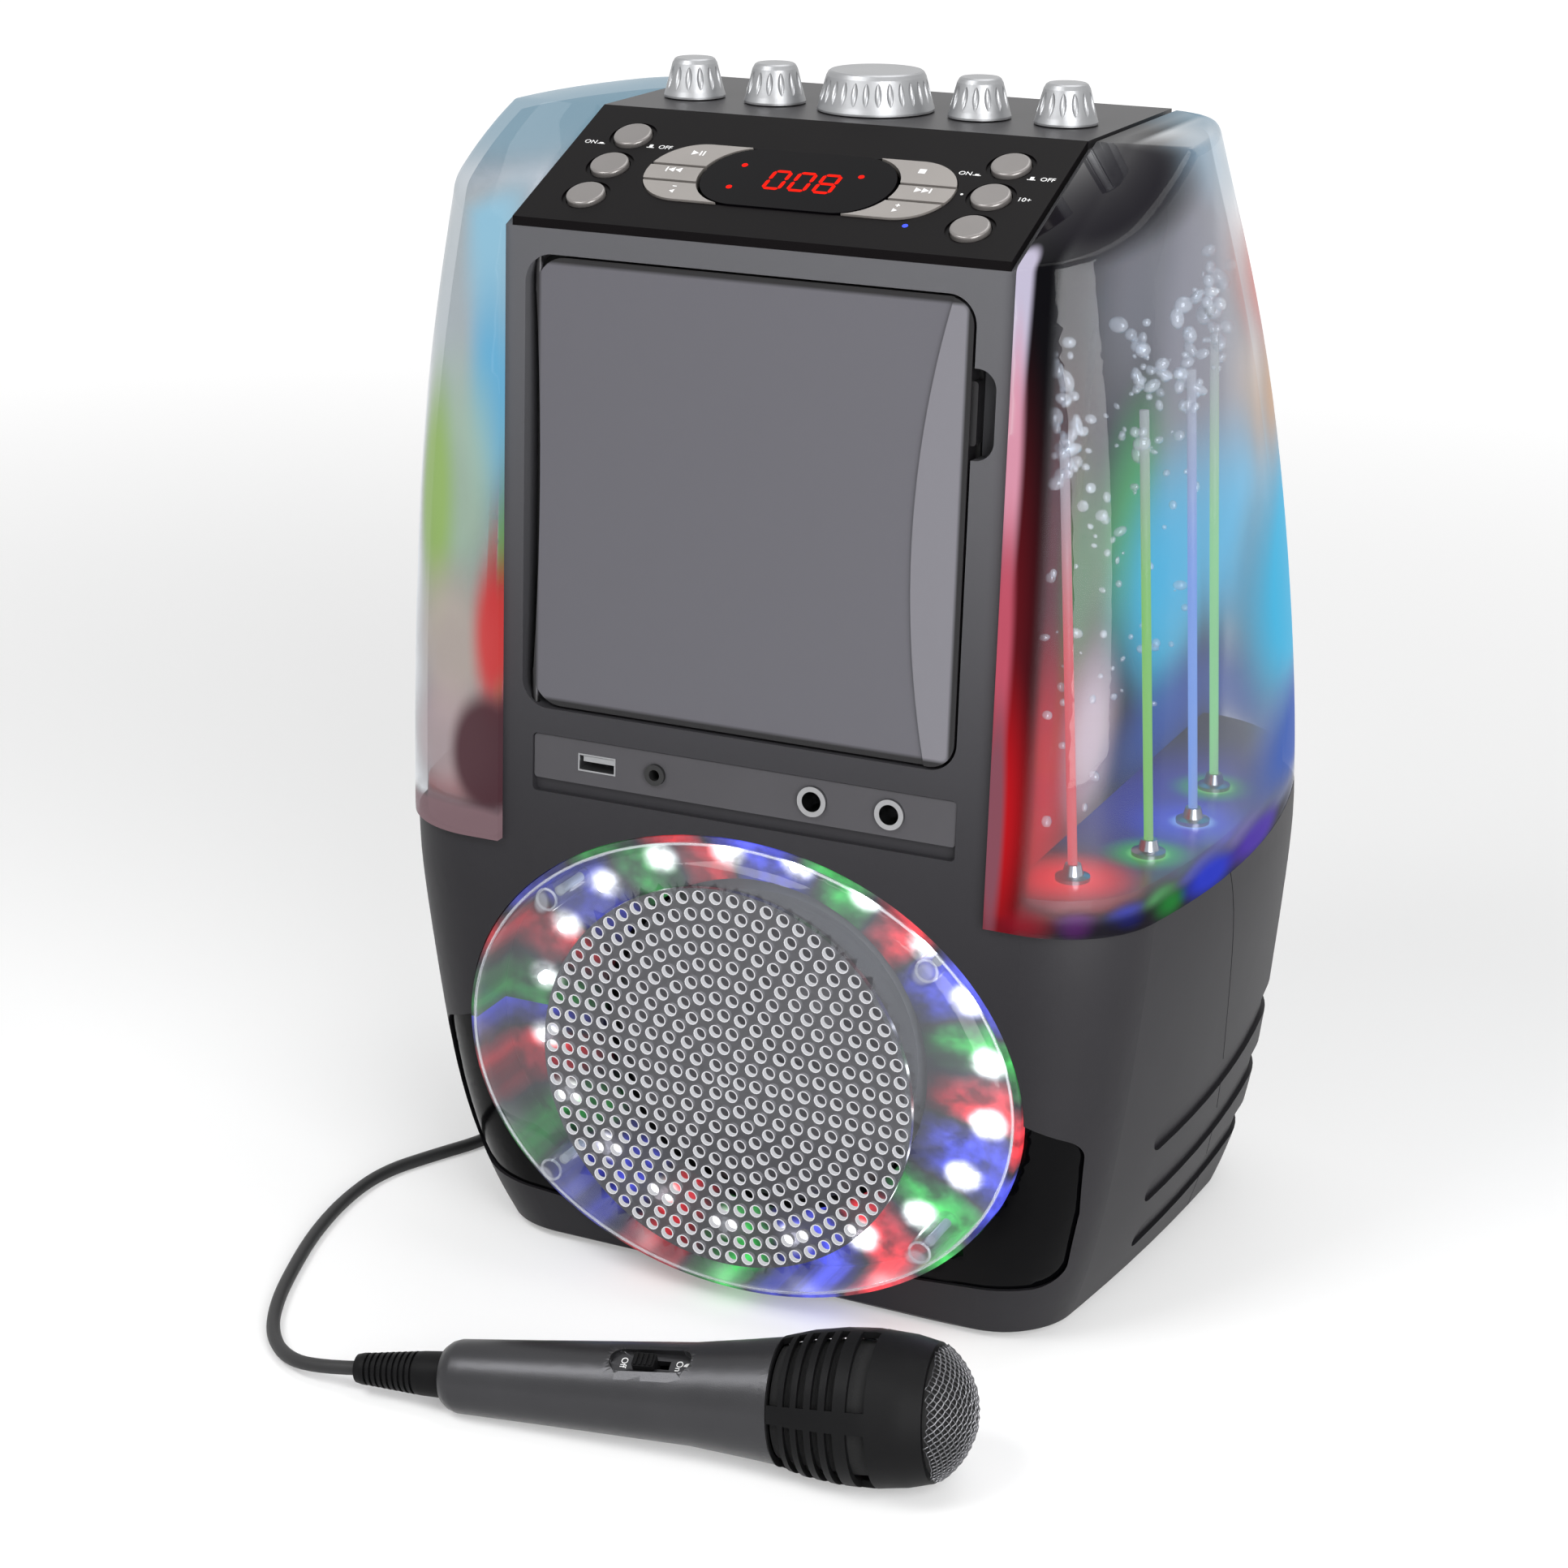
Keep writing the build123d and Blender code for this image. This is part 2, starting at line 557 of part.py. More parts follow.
def disc_well():
    plate = prism(FRONT, recess_outline(-GAP), WELL_RIM_W, WELL_RIM_W - WELL_DEPTH - WELL_T)
    floor_w = WELL_RIM_W - WELL_DEPTH
    plate -= disc(FRONT, DOOR_X, 0, WELL_R, 0, floor_w)
    plate -= disc(FRONT, DOOR_X, 0, SPINDLE_HOLE_R, 0, -40)
    slot = Pos(DOOR_X, -SLED_SLOT_END / 2) * RectangleRounded(SLED_SLOT_W, SLED_SLOT_END, 3)
    plate -= prism(FRONT, slot, 0, -40)
    # chassis under the floor: four legs, a bridge for the motor and two guide rods
    base_w = floor_w - WELL_T
    legs = [(-26, 24), (26, 24), (-26, -60), (26, -60)]
    for x, y in legs:
        plate += disc(FRONT, DOOR_X + x, y, 3.0, base_w + 0.5, base_w - 14)
    frame = Pos(DOOR_X, -18) * Rectangle(58, 92) - Pos(DOOR_X, -40) * Rectangle(40, 42)
    plate += prism(FRONT, frame, base_w - 13, base_w - 15)
    for x in (-16.0, 16.0):
        rod = FRONT.location * Pos(DOOR_X + x, -40, base_w - 9) * Rot(90, 0, 0) * Cylinder(1.2, 56)
        plate += rod
        for y in (-13.5, -66.5 + 1.5):
            plate += prism(FRONT, Pos(DOOR_X + x, y) * Rectangle(5, 3), base_w - 6, base_w - 13.5)
    plate += disc(FRONT, DOOR_X, 0, 11.0, base_w - 5, base_w - 14)
    plate -= disc(FRONT, DOOR_X, 0, 1.4, 0, base_w - 12)
    return plate


def spindle():
    floor_w = WELL_RIM_W - WELL_DEPTH
    hub = disc(FRONT, DOOR_X, 0, TURNTABLE_R, floor_w + 1.4, floor_w - 0.8)
    hub += disc(FRONT, DOOR_X, 0, HUB_R, floor_w + 3.4, floor_w + 1)
    hub += FRONT.location * Pos(DOOR_X, 0, floor_w + 3.4) * Cone(HUB_R, 5.2, 1.6,
                                                                align=(Align.CENTER, Align.CENTER, Align.MIN))
    hub += disc(FRONT, DOOR_X, 0, 1.1, floor_w, floor_w - WELL_T - 11)
    return hub


def laser_sled():
    """Pickup block on its guide rods, at the inner end of its travel."""
    base_w = WELL_RIM_W - WELL_DEPTH - WELL_T
    y = -29.0
    block = prism(FRONT, Pos(DOOR_X, y) * Rectangle(38, 15), base_w - 4, base_w - 11.5)
    block += prism(FRONT, Pos(DOOR_X, y) * Rectangle(11, 11), base_w + 1.0, base_w - 4.5)
    block += disc(FRONT, DOOR_X, y, 3.4, base_w + 2.2, base_w + 0.5)
    for x in (-16.0, 16.0):
        block -= FRONT.location * Pos(DOOR_X + x, y, base_w - 9) * Rot(90, 0, 0) * Cylinder(1.2 + GAP, 30)
    return block


# ---------------------------------------------------------------- control panels
def stadium(half, height):
    return SlotOverall(2 * half, height)


def control_panel():
    outline = Pos(0, SLOPE_L / 2) * Rectangle(2 * PANEL_HALF, SLOPE_L + 4)
    plate = prism(SLOPED, outline, 0, -PANEL_T) & tower(0.0, PANEL_HALF, 0.0)
    for side in (-1, 1):
        for s in BUTTON_S:
            plate -= disc(SLOPED, side * BUTTON_X, s, BUTTON_R + GAP, 5, -5)
            plate -= disc(SLOPED, side * BUTTON_X, s, BUTTON_R + BUTTON_RING, 5, -0.6)
    plate -= prism(SLOPED, Pos(KEYS_X, KEYS_S) * stadium(KEYS_HALF + GAP, KEYS_H + 2 * GAP), 5, -5)
    return plate - top_plate()


def top_plate():
    depth = rear_y(TOP_Z) - RIDGE_Y
    return prism(TOP, Pos(0, RIDGE_Y + depth / 2) * Rectangle(2 * PANEL_HALF, depth), 0, -PANEL_T)


def top_panel():
    plate = top_plate()
    for x in KNOB_X + (0.0,):
        plate -= disc(TOP, x, KNOB_Y, KNOB_STEM_R + 1.4, 5, -5)
    return plate


def key_rows():
    """Bottom and top edge of each of the three keys, up the slope."""
    low = KEYS_S - KEYS_H / 2
    first = low + KEY_LOW_H
    second = first + KEY_MID_H
    return [(low, first - KEY_SPLIT / 2), (first + KEY_SPLIT / 2, second - KEY_SPLIT / 2),
            (second + KEY_SPLIT / 2, low + KEYS_H)]


def key(side, row):
    """One key of the crescent beside the display, with its stem down to the switch."""
    low, high = key_rows()[row]
    ring = Pos(KEYS_X, KEYS_S) * stadium(KEYS_HALF, KEYS_H)
    ring -= Pos(KEYS_X, KEYS_S) * stadium(WINDOW_HALF + KEY_SPLIT, KEYS_H + 1.0)
    lean = 2.5 * side
    far = KEYS_X + side * 60
    near = KEYS_X + side * 19 + lean * (row - 1)
    cut = Pos((far + near) / 2, (low + high) / 2) * Rectangle(abs(far - near), high - low)
    cap = prism(SLOPED, ring & cut, KEY_PROUD, KEY_PROUD - KEY_T)
    x, s = key_stem(side, row)
    return cap + disc(SLOPED, x, s, STEM_R, KEY_PROUD - KEY_T + 0.5, BOARD_W + 1.0 + SHORT_TRAVEL + GAP)


def key_stem(side, row):
    low, high = key_rows()[row]
    return KEYS_X + side * (42.5 if row == 1 else 39.5), (low + high) / 2


def round_button(x, s, travel):
    cap = disc(SLOPED, x, s, BUTTON_R, BUTTON_PROUD, -PANEL_T - GAP - 1.0)
    rim = cap.faces().sort_by(Axis(SLOPED.origin, SLOPED.z_dir))[-1].edges()
    cap = fillet(rim, 0.8)
    cap += disc(SLOPED, x, s, BUTTON_R + 0.9, -PANEL_T - GAP, -PANEL_T - GAP - 1.0)
    return cap + disc(SLOPED, x, s, STEM_R, -PANEL_T - 1, BOARD_W + 1.0 + travel + GAP)


def display_window():
    ring = Pos(KEYS_X, KEYS_S) * stadium(WINDOW_HALF, KEYS_H)
    inner = Pos(KEYS_X, KEYS_S) * stadium(WINDOW_HALF - 1.4, KEYS_H - 2.8)
    glass = prism(SLOPED, ring, 0.5, -1.8) + prism(SLOPED, ring - inner, -1.0, BOARD_W)
    return glass


def control_board():
    low, high = 11.0, SLOPE_L - 6.0
    board = prism(SLOPED, Pos(0, (low + high) / 2) * Rectangle(2 * (TOWER_HALF - WALL), high - low),
                  BOARD_W, BOARD_W - BOARD_T)
    places = [(side * BUTTON_X, s) for side in (-1, 1) for s in BUTTON_S]
    places += [key_stem(side, row) for side in (-1, 1) for row in range(3)]
    for x, s in places:
        switch = prism(SLOPED, Pos(x, s) * Rectangle(SWITCH_W, SWITCH_W), BOARD_W + SWITCH_H, BOARD_W - 0.5)
        board += switch
    for x, s in places:
        board -= disc(SLOPED, x, s, STEM_R + GAP, BOARD_W + SWITCH_H + 1, BOARD_W + 1.0)
    # display block under the window
    return board + prism(SLOPED, Pos(KEYS_X, KEYS_S) * Rectangle(40, 16), BOARD_W + 8, BOARD_W - 0.5)


# ---------------------------------------------------------------- knobs
def knob(x, base_r, top_r, flutes):
    skirt = 2.6
    profile = [(0, 0.4), (base_r, 0.4), (base_r, 1.0), (base_r - 0.5, skirt), (top_r + 0.7, KNOB_H - 1.6),
               (top_r, KNOB_H - 0.4), (top_r - 0.6, KNOB_H), (0, KNOB_H)]
    at = Plane(origin=(x, KNOB_Y, TOP_Z), x_dir=(1, 0, 0), z_dir=(0, 0, 1))
    body = revolved(at, profile)
    # lens-shaped flutes: a slim spindle laid along the cone
    length = KNOB_H - skirt - 1.4
    bow = ThreePointArc((-length / 2, 0), (0, 1.15), (length / 2, 0))
    spindle_cut = revolve(make_face(Curve() + [bow, Line((length / 2, 0), (-length / 2, 0))]), Axis.X)
    slope = degrees(atan2(base_r - 0.5 - top_r - 0.7, KNOB_H - 1.6 - skirt))
    mid_r = (base_r - 0.5 + top_r + 0.7) / 2 + 0.35
    cut = Pos(mid_r, 0, (skirt + KNOB_H - 1.6) / 2) * Rot(0, 90 - slope, 0) * spindle_cut
    for turn in range(flutes):
        body -= at.location * Rot(0, 0, 360 / flutes * turn) * cut
    return body + disc(at, 0, 0, KNOB_STEM_R, 1, -PANEL_T - 8)


def potentiometers():
    pots = []
    for x in sorted(KNOB_X + (0.0,)):
        case = disc(TOP, x, KNOB_Y, POT_R, -PANEL_T - 2, -PANEL_T - 2 - POT_H)
        case += disc(TOP, x, KNOB_Y, KNOB_STEM_R + GAP + 0.8, 0.0, -PANEL_T - 3)
        case += disc(TOP, x, KNOB_Y, POT_R - 1, -PANEL_T, -PANEL_T - 3)
        case -= disc(TOP, x, KNOB_Y, KNOB_STEM_R + GAP, 5, -PANEL_T - 8 - GAP)
        pots.append(case)
    return pots


# ---------------------------------------------------------------- tanks
def side_half(side, start=0.0):
    """Everything on one side of the tower."""
    return Pos(side * (TOWER_HALF + GAP + start + 100), 60, 200) * Box(200, 500, 500)


def on_lid(edge):
    """True for an edge in the flat top or the sloped part of a tank's lid."""
    points = [edge.position_at(t) for t in (0.1, 0.5, 0.9)]
    flat = all(abs(p.Z - TOP_Z) < 0.05 for p in points)
    return flat or all(abs(SLOPED.to_local_coords(p).Z) < 0.05 for p in points)


def tank(side):
    outer = tank_body() & side_half(side) & below_top()
    rim = [e for e in outer.edges() if on_lid(e) and abs(e.center().X) > TOWER_HALF + 1]
    rim = [e for e in rim if not (abs(e.center().Y - RIDGE_Y) < 1 and abs(e.center().Z - TOP_Z) < 1)]
    outer = fillet(rim, LID_R)
    inner = tank_body(TANK_WALL, -1.0) & side_half(side, TANK_WALL) & below_top(TANK_WALL)
    return outer - inner


def fountain_floor(side):
    """Inverted tray that closes the tank's foot and hides the lamps."""
    inset = TANK_WALL + GAP
    level = DECK_Z + FLOOR_H
    slab = Pos(0, 60, level / 2) * Box(400, 500, level)
    tray = tank_body(inset, 0.0) & side_half(side, inset) & slab
    hollow = tank_body(inset + 2, -1.0) & side_half(side, inset + 2)
    hollow &= Pos(0, 60, (level - FLOOR_T) / 2) * Box(400, 500, level - FLOOR_T)
    tray -= hollow
    for x, y in JET_PLACES:
        tray -= Pos(side * x, y, level) * Cylinder(JET_BORE_R, 20)
    return tray


def fountain_nozzles():
    nozzles = []
    level = DECK_Z + FLOOR_H
    for side in (-1, 1):
        for x, y in JET_PLACES:
            at = Plane(origin=(side * x, y, level), x_dir=(1, 0, 0), z_dir=(0, 0, 1))
            nozzles.append(revolved(at, [(JET_BORE_R, 0), (JET_R + 2, 0), (JET_R + 2, 1.2),
                                         (JET_R, 1.8), (JET_R - 0.9, JET_H), (JET_BORE_R, JET_H)]))
    return nozzles


def fountain_leds():
    leds = []
    top = DECK_Z + FLOOR_H - FLOOR_T - GAP
    for side in (-1, 1):
        for x, y in JET_PLACES:
            base = Pos(side * (x - 4), y + 7, DECK_Z) * Cylinder(2.5, top - 2.5 - DECK_Z,
                                                             align=(Align.CENTER, Align.CENTER, Align.MIN))
            dome = Pos(side * (x - 4), y + 7, top - 2.5) * Sphere(2.5, -90, 90)
            leds.append(base + dome)
    return leds


def fountain_pumps():
    pumps = []
    deck_under = DECK_Z - WALL
    for side in (-1, 1):
        at = Plane(origin=(side * PUMP_AT[0], PUMP_AT[1], deck_under), x_dir=(1, 0, 0), z_dir=(0, 0, 1))
        pumps.append(revolved(at, [(0, 0), (PUMP_R + 3, 0), (PUMP_R + 3, -3), (PUMP_R, -3),
                                   (PUMP_R, -PUMP_H + 2), (PUMP_R - 2, -PUMP_H), (0, -PUMP_H)]))
    return pumps


# ---------------------------------------------------------------- lens and speaker
def hexagon(x, y, radius):
    """A sound hole, drawn with six sides."""
    points = [(x + radius * cos(radians(60 * k)), y + radius * sin(radians(60 * k))) for k in range(6)]
    return Wire.make_polygon([(px, py, 0) for px, py in points])


def sound_holes():
    holes = [hexagon(0, 0, HOLE_R)]
    for ring in range(1, HOLE_RINGS + 1):
        count = 6 * ring
        for k in range(count):
            turn = 2 * pi * (k + 0.5 * (ring % 2)) / count
            holes.append(hexagon(ring * HOLE_PITCH * cos(turn), ring * HOLE_PITCH * sin(turn), HOLE_R))
    return holes


def lens_form(inset, top):
    """The lens dome as a stack of ovals: half width, half height, share of the rise."""
    steps = [(0.0, 0.0, 0.0), (2.2, 2.0, 0.45), (8.5, 5.2, 0.82), (26.0, 9.6, 1.0)]
    faces = []
    for in_x, in_z, share in steps:
        oval_face = Ellipse(LENS_A - in_x - inset, LENS_B - in_z - inset)
        faces.append((LENS.offset(top * share) * oval_face).faces()[0])
    return loft(faces)


def speaker_lens():
    """Clear dome with a flat round field of sound holes and four screw pillars."""
    rim = lens_form(0.0, LENS_RISE) - lens_form(LENS_T, LENS_RISE - LENS_T)
    rim -= oval(GRILLE_R, GRILLE_R, 20, -5)
    inside = lens_form(0.6, LENS_RISE - 0.6) + oval(LENS_A - 2, LENS_B - 2, 0.5, -60)
    for x, z in boss_places():
        rim += disc(LENS, x, z, BOSS_R, LENS_RISE, -REFLECTOR_DEPTH) & inside
    for x, z in boss_places():
        rim -= disc(LENS, x, z, SCREW_R + 0.2, BOSS_BORE_TOP, -REFLECTOR_DEPTH - 1)
    field = Face(Wire.make_circle(GRILLE_R), sound_holes())
    plate = extrude(LENS.offset(LENS_RISE - LENS_T) * field, amount=LENS_T)
    return rim.solids()[0].fuse(plate.solids()[0], glue=True)


def lens_screws():
    screws = []
    seat = BASKET_W - WALL
    for x, z in boss_places():
        screw = disc(LENS, x, z, SCREW_HEAD_R, seat, seat - 1.8)
        screws.append(screw + disc(LENS, x, z, SCREW_R, BOSS_BORE_TOP - 1, seat - 0.5))
    return screws


def speaker_reflector():
    """Elliptical drum with a bright floor; the speaker looks out through its middle."""
    drum = oval(POD_A, POD_B, 0, BASKET_W)
    drum -= oval(POD_A - POD_WALL, POD_B - POD_WALL, 5, -REFLECTOR_DEPTH)
    drum -= oval(SPEAKER_HOLE_R, SPEAKER_HOLE_R, 5, -60)
    for x, z in boss_places():
        drum -= disc(LENS, x, z, SCREW_R + 0.1, 5, -60)
    return drum


def disco_leds():
    leds = []
    for k in range(LED_COUNT):
        turn = 2 * pi * (k + 0.5) / LED_COUNT
        x, z = LED_A * cos(turn), LED_B * sin(turn)
        lamp = disc(LENS, x, z, LED_R, -REFLECTOR_DEPTH + LED_H - 1, -REFLECTOR_DEPTH)
        lamp += disc(LENS, x, z, LED_R - 0.7, -REFLECTOR_DEPTH + LED_H, -REFLECTOR_DEPTH)
        leds.append(lamp)
    return leds


def speaker_basket():
    w0 = BASKET_W
    back = w0 - BASKET_DEPTH
    ring_r = SPEAKER_HOLE_R + 1.0
    frame = revolved(LENS, [(ring_r, w0), (BASKET_R, w0), (BASKET_R, w0 - BASKET_T),
                            (ring_r + 2.5, w0 - BASKET_T), (ring_r + 2.5, w0 - BASKET_T - 6),
                            (MAGNET_R - 1, back + 3), (MAGNET_R - 1, back), (COIL_R + 5, back),
                            (COIL_R + 5, back + 2), (MAGNET_R - 7, back + 3), (ring_r, w0 - BASKET_T - 5)])
    for turn in range(4):
        window = Pos(0, 0, w0 - BASKET_T - 15) * Rot(0, 0, 90 * turn + 45) * Pos(48, 0, 0) * Box(50, 34, 17)
        frame -= LENS.location * window
    return frame


def speaker_magnet():
    back = BASKET_W - BASKET_DEPTH
    gap_out = COIL_R + 0.7
    gap_in = COIL_R - 0.7
    end = back - TOP_PLATE_T - MAGNET_H
    return revolved(LENS, [(gap_out, back), (MAGNET_R, back), (MAGNET_R, end), (0, end), (0, back),
                           (gap_in, back), (gap_in, back - 14), (gap_out, back - 14)])


def speaker_cone():
    w0 = BASKET_W
    back = w0 - BASKET_DEPTH
    r0 = SPEAKER_HOLE_R - 1.5
    return revolved(LENS, [(r0, w0 - 5.2), (r0 - 4, w0 - 2.4), (r0 - 8, w0 - 5.2), (COIL_R + 5, w0 - 23),
                           (COIL_R, w0 - 17), (0, w0 - 14.5), (0, w0 - 16), (COIL_R - 0.35, w0 - 18.6),
                           (COIL_R - 0.35, back - 8), (COIL_R + 0.35, back - 8), (COIL_R + 0.35, w0 - 24.5),
                           (COIL_R + 4, w0 - 24.8), (r0 - 8, w0 - 6.6), (r0 - 4, w0 - 4), (r0, w0 - 6.6)])


def lower_trim():
    plate = prism(Plane.XZ, trim_outline(-GAP), 40, -40) & base_body(TRIM_DEPTH - TRIM_T - GAP)
    plate -= base_body(TRIM_DEPTH - GAP)
    return plate - oval(POD_A + GAP, POD_B + GAP, 30, -60)


# ---------------------------------------------------------------- jacks
STRIP_V = (STRIP_Z - DOOR_Z) / cos(LEAN)


def jack_panel():
    plate = prism(FRONT, Pos(0, STRIP_V) * RectangleRounded(STRIP_W, STRIP_H - 2 * GAP, 1.2), -0.6,
                  -0.6 - STRIP_T)
    for x in MIC_JACK_X:
        plate -= disc(FRONT, x, STRIP_V, MIC_BUSH_R + 0.05, 5, -12)
    plate -= disc(FRONT, LINE_JACK_X, STRIP_V, LINE_BUSH_R + 0.05, 5, -12)
    return plate - prism(FRONT, Pos(USB_X, STRIP_V) * Rectangle(USB_W + 0.1, USB_H + 0.1), 5, -12)


def jack(x, bore_r, bush_r, length, body_w):
    """A socket: bush through the panel, box behind the wall, and a blind bore."""
    behind = -0.6 - STRIP_T - WALL
    socket = disc(FRONT, x, STRIP_V, bush_r, BUSH_PROUD - 0.6, behind - 1)
    socket += prism(FRONT, Pos(x, STRIP_V) * Rectangle(body_w, body_w), behind, BUSH_PROUD - 0.6 - length - 2)
    return socket - disc(FRONT, x, STRIP_V, bore_r, 5, BUSH_PROUD - 0.6 - length)


def usb_port():
    behind = -0.6 - STRIP_T - WALL
    shell = prism(FRONT, Pos(USB_X, STRIP_V) * Rectangle(USB_W, USB_H), -0.6, behind - USB_L)
    shell -= prism(FRONT, Pos(USB_X, STRIP_V) * Rectangle(USB_W - 1, USB_H - 1), 5, behind - USB_L + 1)
    tongue = Pos(USB_X, STRIP_V + 0.9) * Rectangle(USB_W - 2.4, 1.7)
    return shell + prism(FRONT, tongue, -2.0, behind - USB_L + 0.5)


def rear_sockets():
    """Video and sound outputs and the power inlet, on one block behind the pocket."""
    floor_w = -BACK_POCKET_D
    block = prism(BACK, Pos(5, 0) * Rectangle(BACK_POCKET_W - 12, 16), floor_w - WALL, floor_w - WALL - 12)
    for x in RCA_X:
        block += disc(BACK, -x, 0, RCA_R + 1.2, floor_w + 0.6, floor_w - WALL - 1)
        block += disc(BACK, -x, 0, RCA_R, floor_w + RCA_L, floor_w)
        block -= disc(BACK, -x, 0, 1.6, 5, floor_w - WALL)
    block += disc(BACK, -POWER_X, 0, POWER_R, floor_w + 1.0, floor_w - WALL - 1)
    block -= disc(BACK, -POWER_X, 0, POWER_BORE_R, 5, floor_w - WALL - 8)
    return block + disc(BACK, -POWER_X, 0, 1.0, floor_w, floor_w - WALL - 9)


def main_board():
    block_back = REAR_FOOT_Y - BACK_POCKET_D - WALL - 12
    board = Pos(0, block_back - 0.8, BACK_POCKET_Z) * Box(150, 1.6, 92)
    board += Pos(50, block_back - 8, BACK_POCKET_Z + 22) * Box(34, 14, 3)
    for fin in range(6):
        board += Pos(36 + 5.6 * fin, block_back - 8, BACK_POCKET_Z + 30) * Box(1.6, 14, 18)
    for x in (-56, -40, -24):
        board += Pos(x, block_back - 9, BACK_POCKET_Z + 24) * Rot(90, 0, 0) * Cylinder(6, 16)
    for x in (-72, 72):
        board += Pos(x, block_back - 2, FOOT_H + WALL + 7) * Box(10, 10, 14.0)
    return board


def case_screws():
    screws = []
    for x, z in screw_places():
        seat = -screw_sink(z)
        head = disc(BACK, -x, z - BACK_POCKET_Z, SCREW_HEAD_R, seat + 2.0, seat)
        screws.append(head + disc(BACK, -x, z - BACK_POCKET_Z, SCREW_R, seat + 0.5, seat - SCREW_L))
    return screws


def feet():
    pads = []
    for x in (-FOOT_X, FOOT_X):
        for y in (FOOT_FRONT_Y, FOOT_REAR_Y):
            pads.append(Pos(x, y, 0) * Cylinder(FOOT_R, FOOT_H, align=(Align.CENTER, Align.CENTER, Align.MIN)))
    return pads


# ---------------------------------------------------------------- microphone
def mic_turned(points):
    """Turned about the microphone's axis: place along it and radius pairs."""
    profile = Polygon(*points, align=None)
    return MIC.location * revolve(profile, Axis.X)


def mic_handle():
    body = mic_turned([(-3, 4.0), (-3, 9.0), (-1, MIC_TAIL_R - 0.8), (1.5, MIC_TAIL_R), (30, 12.8),
                       (77, 15.4), (95, 17.6), (MIC_SEAM, MIC_SEAM_R - 0.4), (MIC_SEAM, MIC_SEAM_R - 2.4),
                       (95, 15.4), (77, 13.2), (30, 10.6), (4, 9.0), (4, 4.0)])
    pocket = Pos(SWITCH_AT, 0) * RectangleRounded(SWITCH_POCKET_L, SWITCH_POCKET_W, 3.9)
    backing = prism(MIC, offset(pocket, amount=1.5), 15.6, 10.2)
    backing &= mic_turned([(40, 0), (40, 12.0), (77, 14.2), (95, 15.0), (95, 0)])
    body += backing
    body -= prism(MIC, pocket, 30, 12.4)
    slot = Pos(SWITCH_AT, 0) * Rectangle(SWITCH_TRAVEL + 7.6, 3.2)
    return body - prism(MIC, slot, 30, 8)


def mic_switch():
    """Thumb slider at its off end, on a foot that keeps it in the slot."""
    x = SWITCH_AT - SWITCH_TRAVEL / 2
    slider = prism(MIC, Pos(x, 0) * RectangleRounded(7.0, 5.2, 0.8), 14.6, 12.7)
    for rib in range(4):
        slider += prism(MIC, Pos(x - 2.4 + 1.6 * rib, 0) * Rectangle(0.7, 4.4), 15.1, 14.4)
    slider += prism(MIC, Pos(x, 0) * Rectangle(7.0, 2.6), 13, 9.0)
    return slider + prism(MIC, Pos(x, 0) * Rectangle(7.0, 6.0), 9.9, 8.9)


def mic_head():
    t0 = MIC_SEAM + 0.3
    out = [(t0, MIC_SEAM_R), (114, 21.6), (124, 23.0), (MIC_HEAD_AT, MIC_HEAD_R), (145, 22.3),
           (MIC_RIM, MIC_RIM_R)]
    back = [(t, r - MIC_WALL) for t, r in reversed(out)]
    head = mic_turned(out + back)
    slots = [(107.2, 3.6), (111.9, 2.4), (116.2, 2.4), (120.7, 2.4), (125.2, 2.4), (133.1, 5.6)]
    for group in range(4):
        # each group spans most of a quarter turn, centred on the sides of the switch
        wedge = Polygon((0, 0), (40, -30), (40, 30), align=None)
        turned = Plane.YZ.rotated((0, 0, 0)) * Rot(0, 0, 90 * group + 6) * wedge
        for at, width in slots:
            head -= MIC.location * Pos(at - width / 2, 0, 0) * extrude(turned, amount=width)
    return head


def mic_grille():
    """Wire dome and its inner basket."""
    r = MIC_RIM_R - MIC_WALL - GAP
    dome = mic_turned([(MIC_RIM - 2, r), (MIC_RIM + 0.6, r), (MIC_RIM + 5.5, r - 3.4), (MIC_RIM + 9, 9.5),
                       (MIC_RIM + MIC_DOME, 0), (MIC_RIM + MIC_DOME - 1.2, 0), (MIC_RIM + 8, 8.9),
                       (MIC_RIM + 4.8, r - 4.2), (MIC_RIM, r - 1.2), (MIC_RIM - 2, r - 1.2)])
    basket = mic_turned([(MIC_SEAM + 0.8, 14), (MIC_SEAM + 0.8, 16.8), (116, 18.9), (128, 19.8), (140, 19.6),
                         (MIC_RIM - 2, r), (MIC_RIM - 2, 14)])
    return dome + basket


def mic_strain_relief():
    points = [(-RELIEF_L, CORD_R), (-RELIEF_L, 4.4), (-31, 4.9)]
    ribs = 9
    for k in range(ribs):
        t = -29.5 + k * 2.0
        r = 5.0 + 1.6 * k / (ribs - 1)
        points += [(t, r), (t, r - 0.8), (t + 0.8, r - 0.8), (t + 0.8, r)]
    points += [(-11, 6.8), (-3.2, 7.2), (-3.2, CORD_R)]
    return mic_turned(points)


# ---------------------------------------------------------------- cord
def mic_point(t):
    return MIC_AT + MIC.x_dir * t


def cord_route():
    """The lying cord's points, from inside the strain relief to the coil."""
    start = mic_point(-RELIEF_L)
    return [start] + [Vector(*p) for p in CORD_RUN] + [Vector(*cord_end())]


def cord_end():
    """Where the cord meets the coil, in line with its outermost turn."""
    outer = CORD_COIL_R + CORD_COIL_W / 2
    reach = sqrt(outer ** 2 - (CORD_TURN_R - CORD_R) ** 2) + 0.2
    return (CORD_COIL_AT[0] - reach, CORD_COIL_AT[1] - CORD_TURN_R, CORD_R)


def cord_radii(points):
    radii = []
    for before, at, after in zip(points, points[1:], points[2:]):
        turn = radians((at - before).get_angle(after - at))
        radii.append(0.45 * min((at - before).length, (after - at).length) / tan(turn / 2))
    return radii


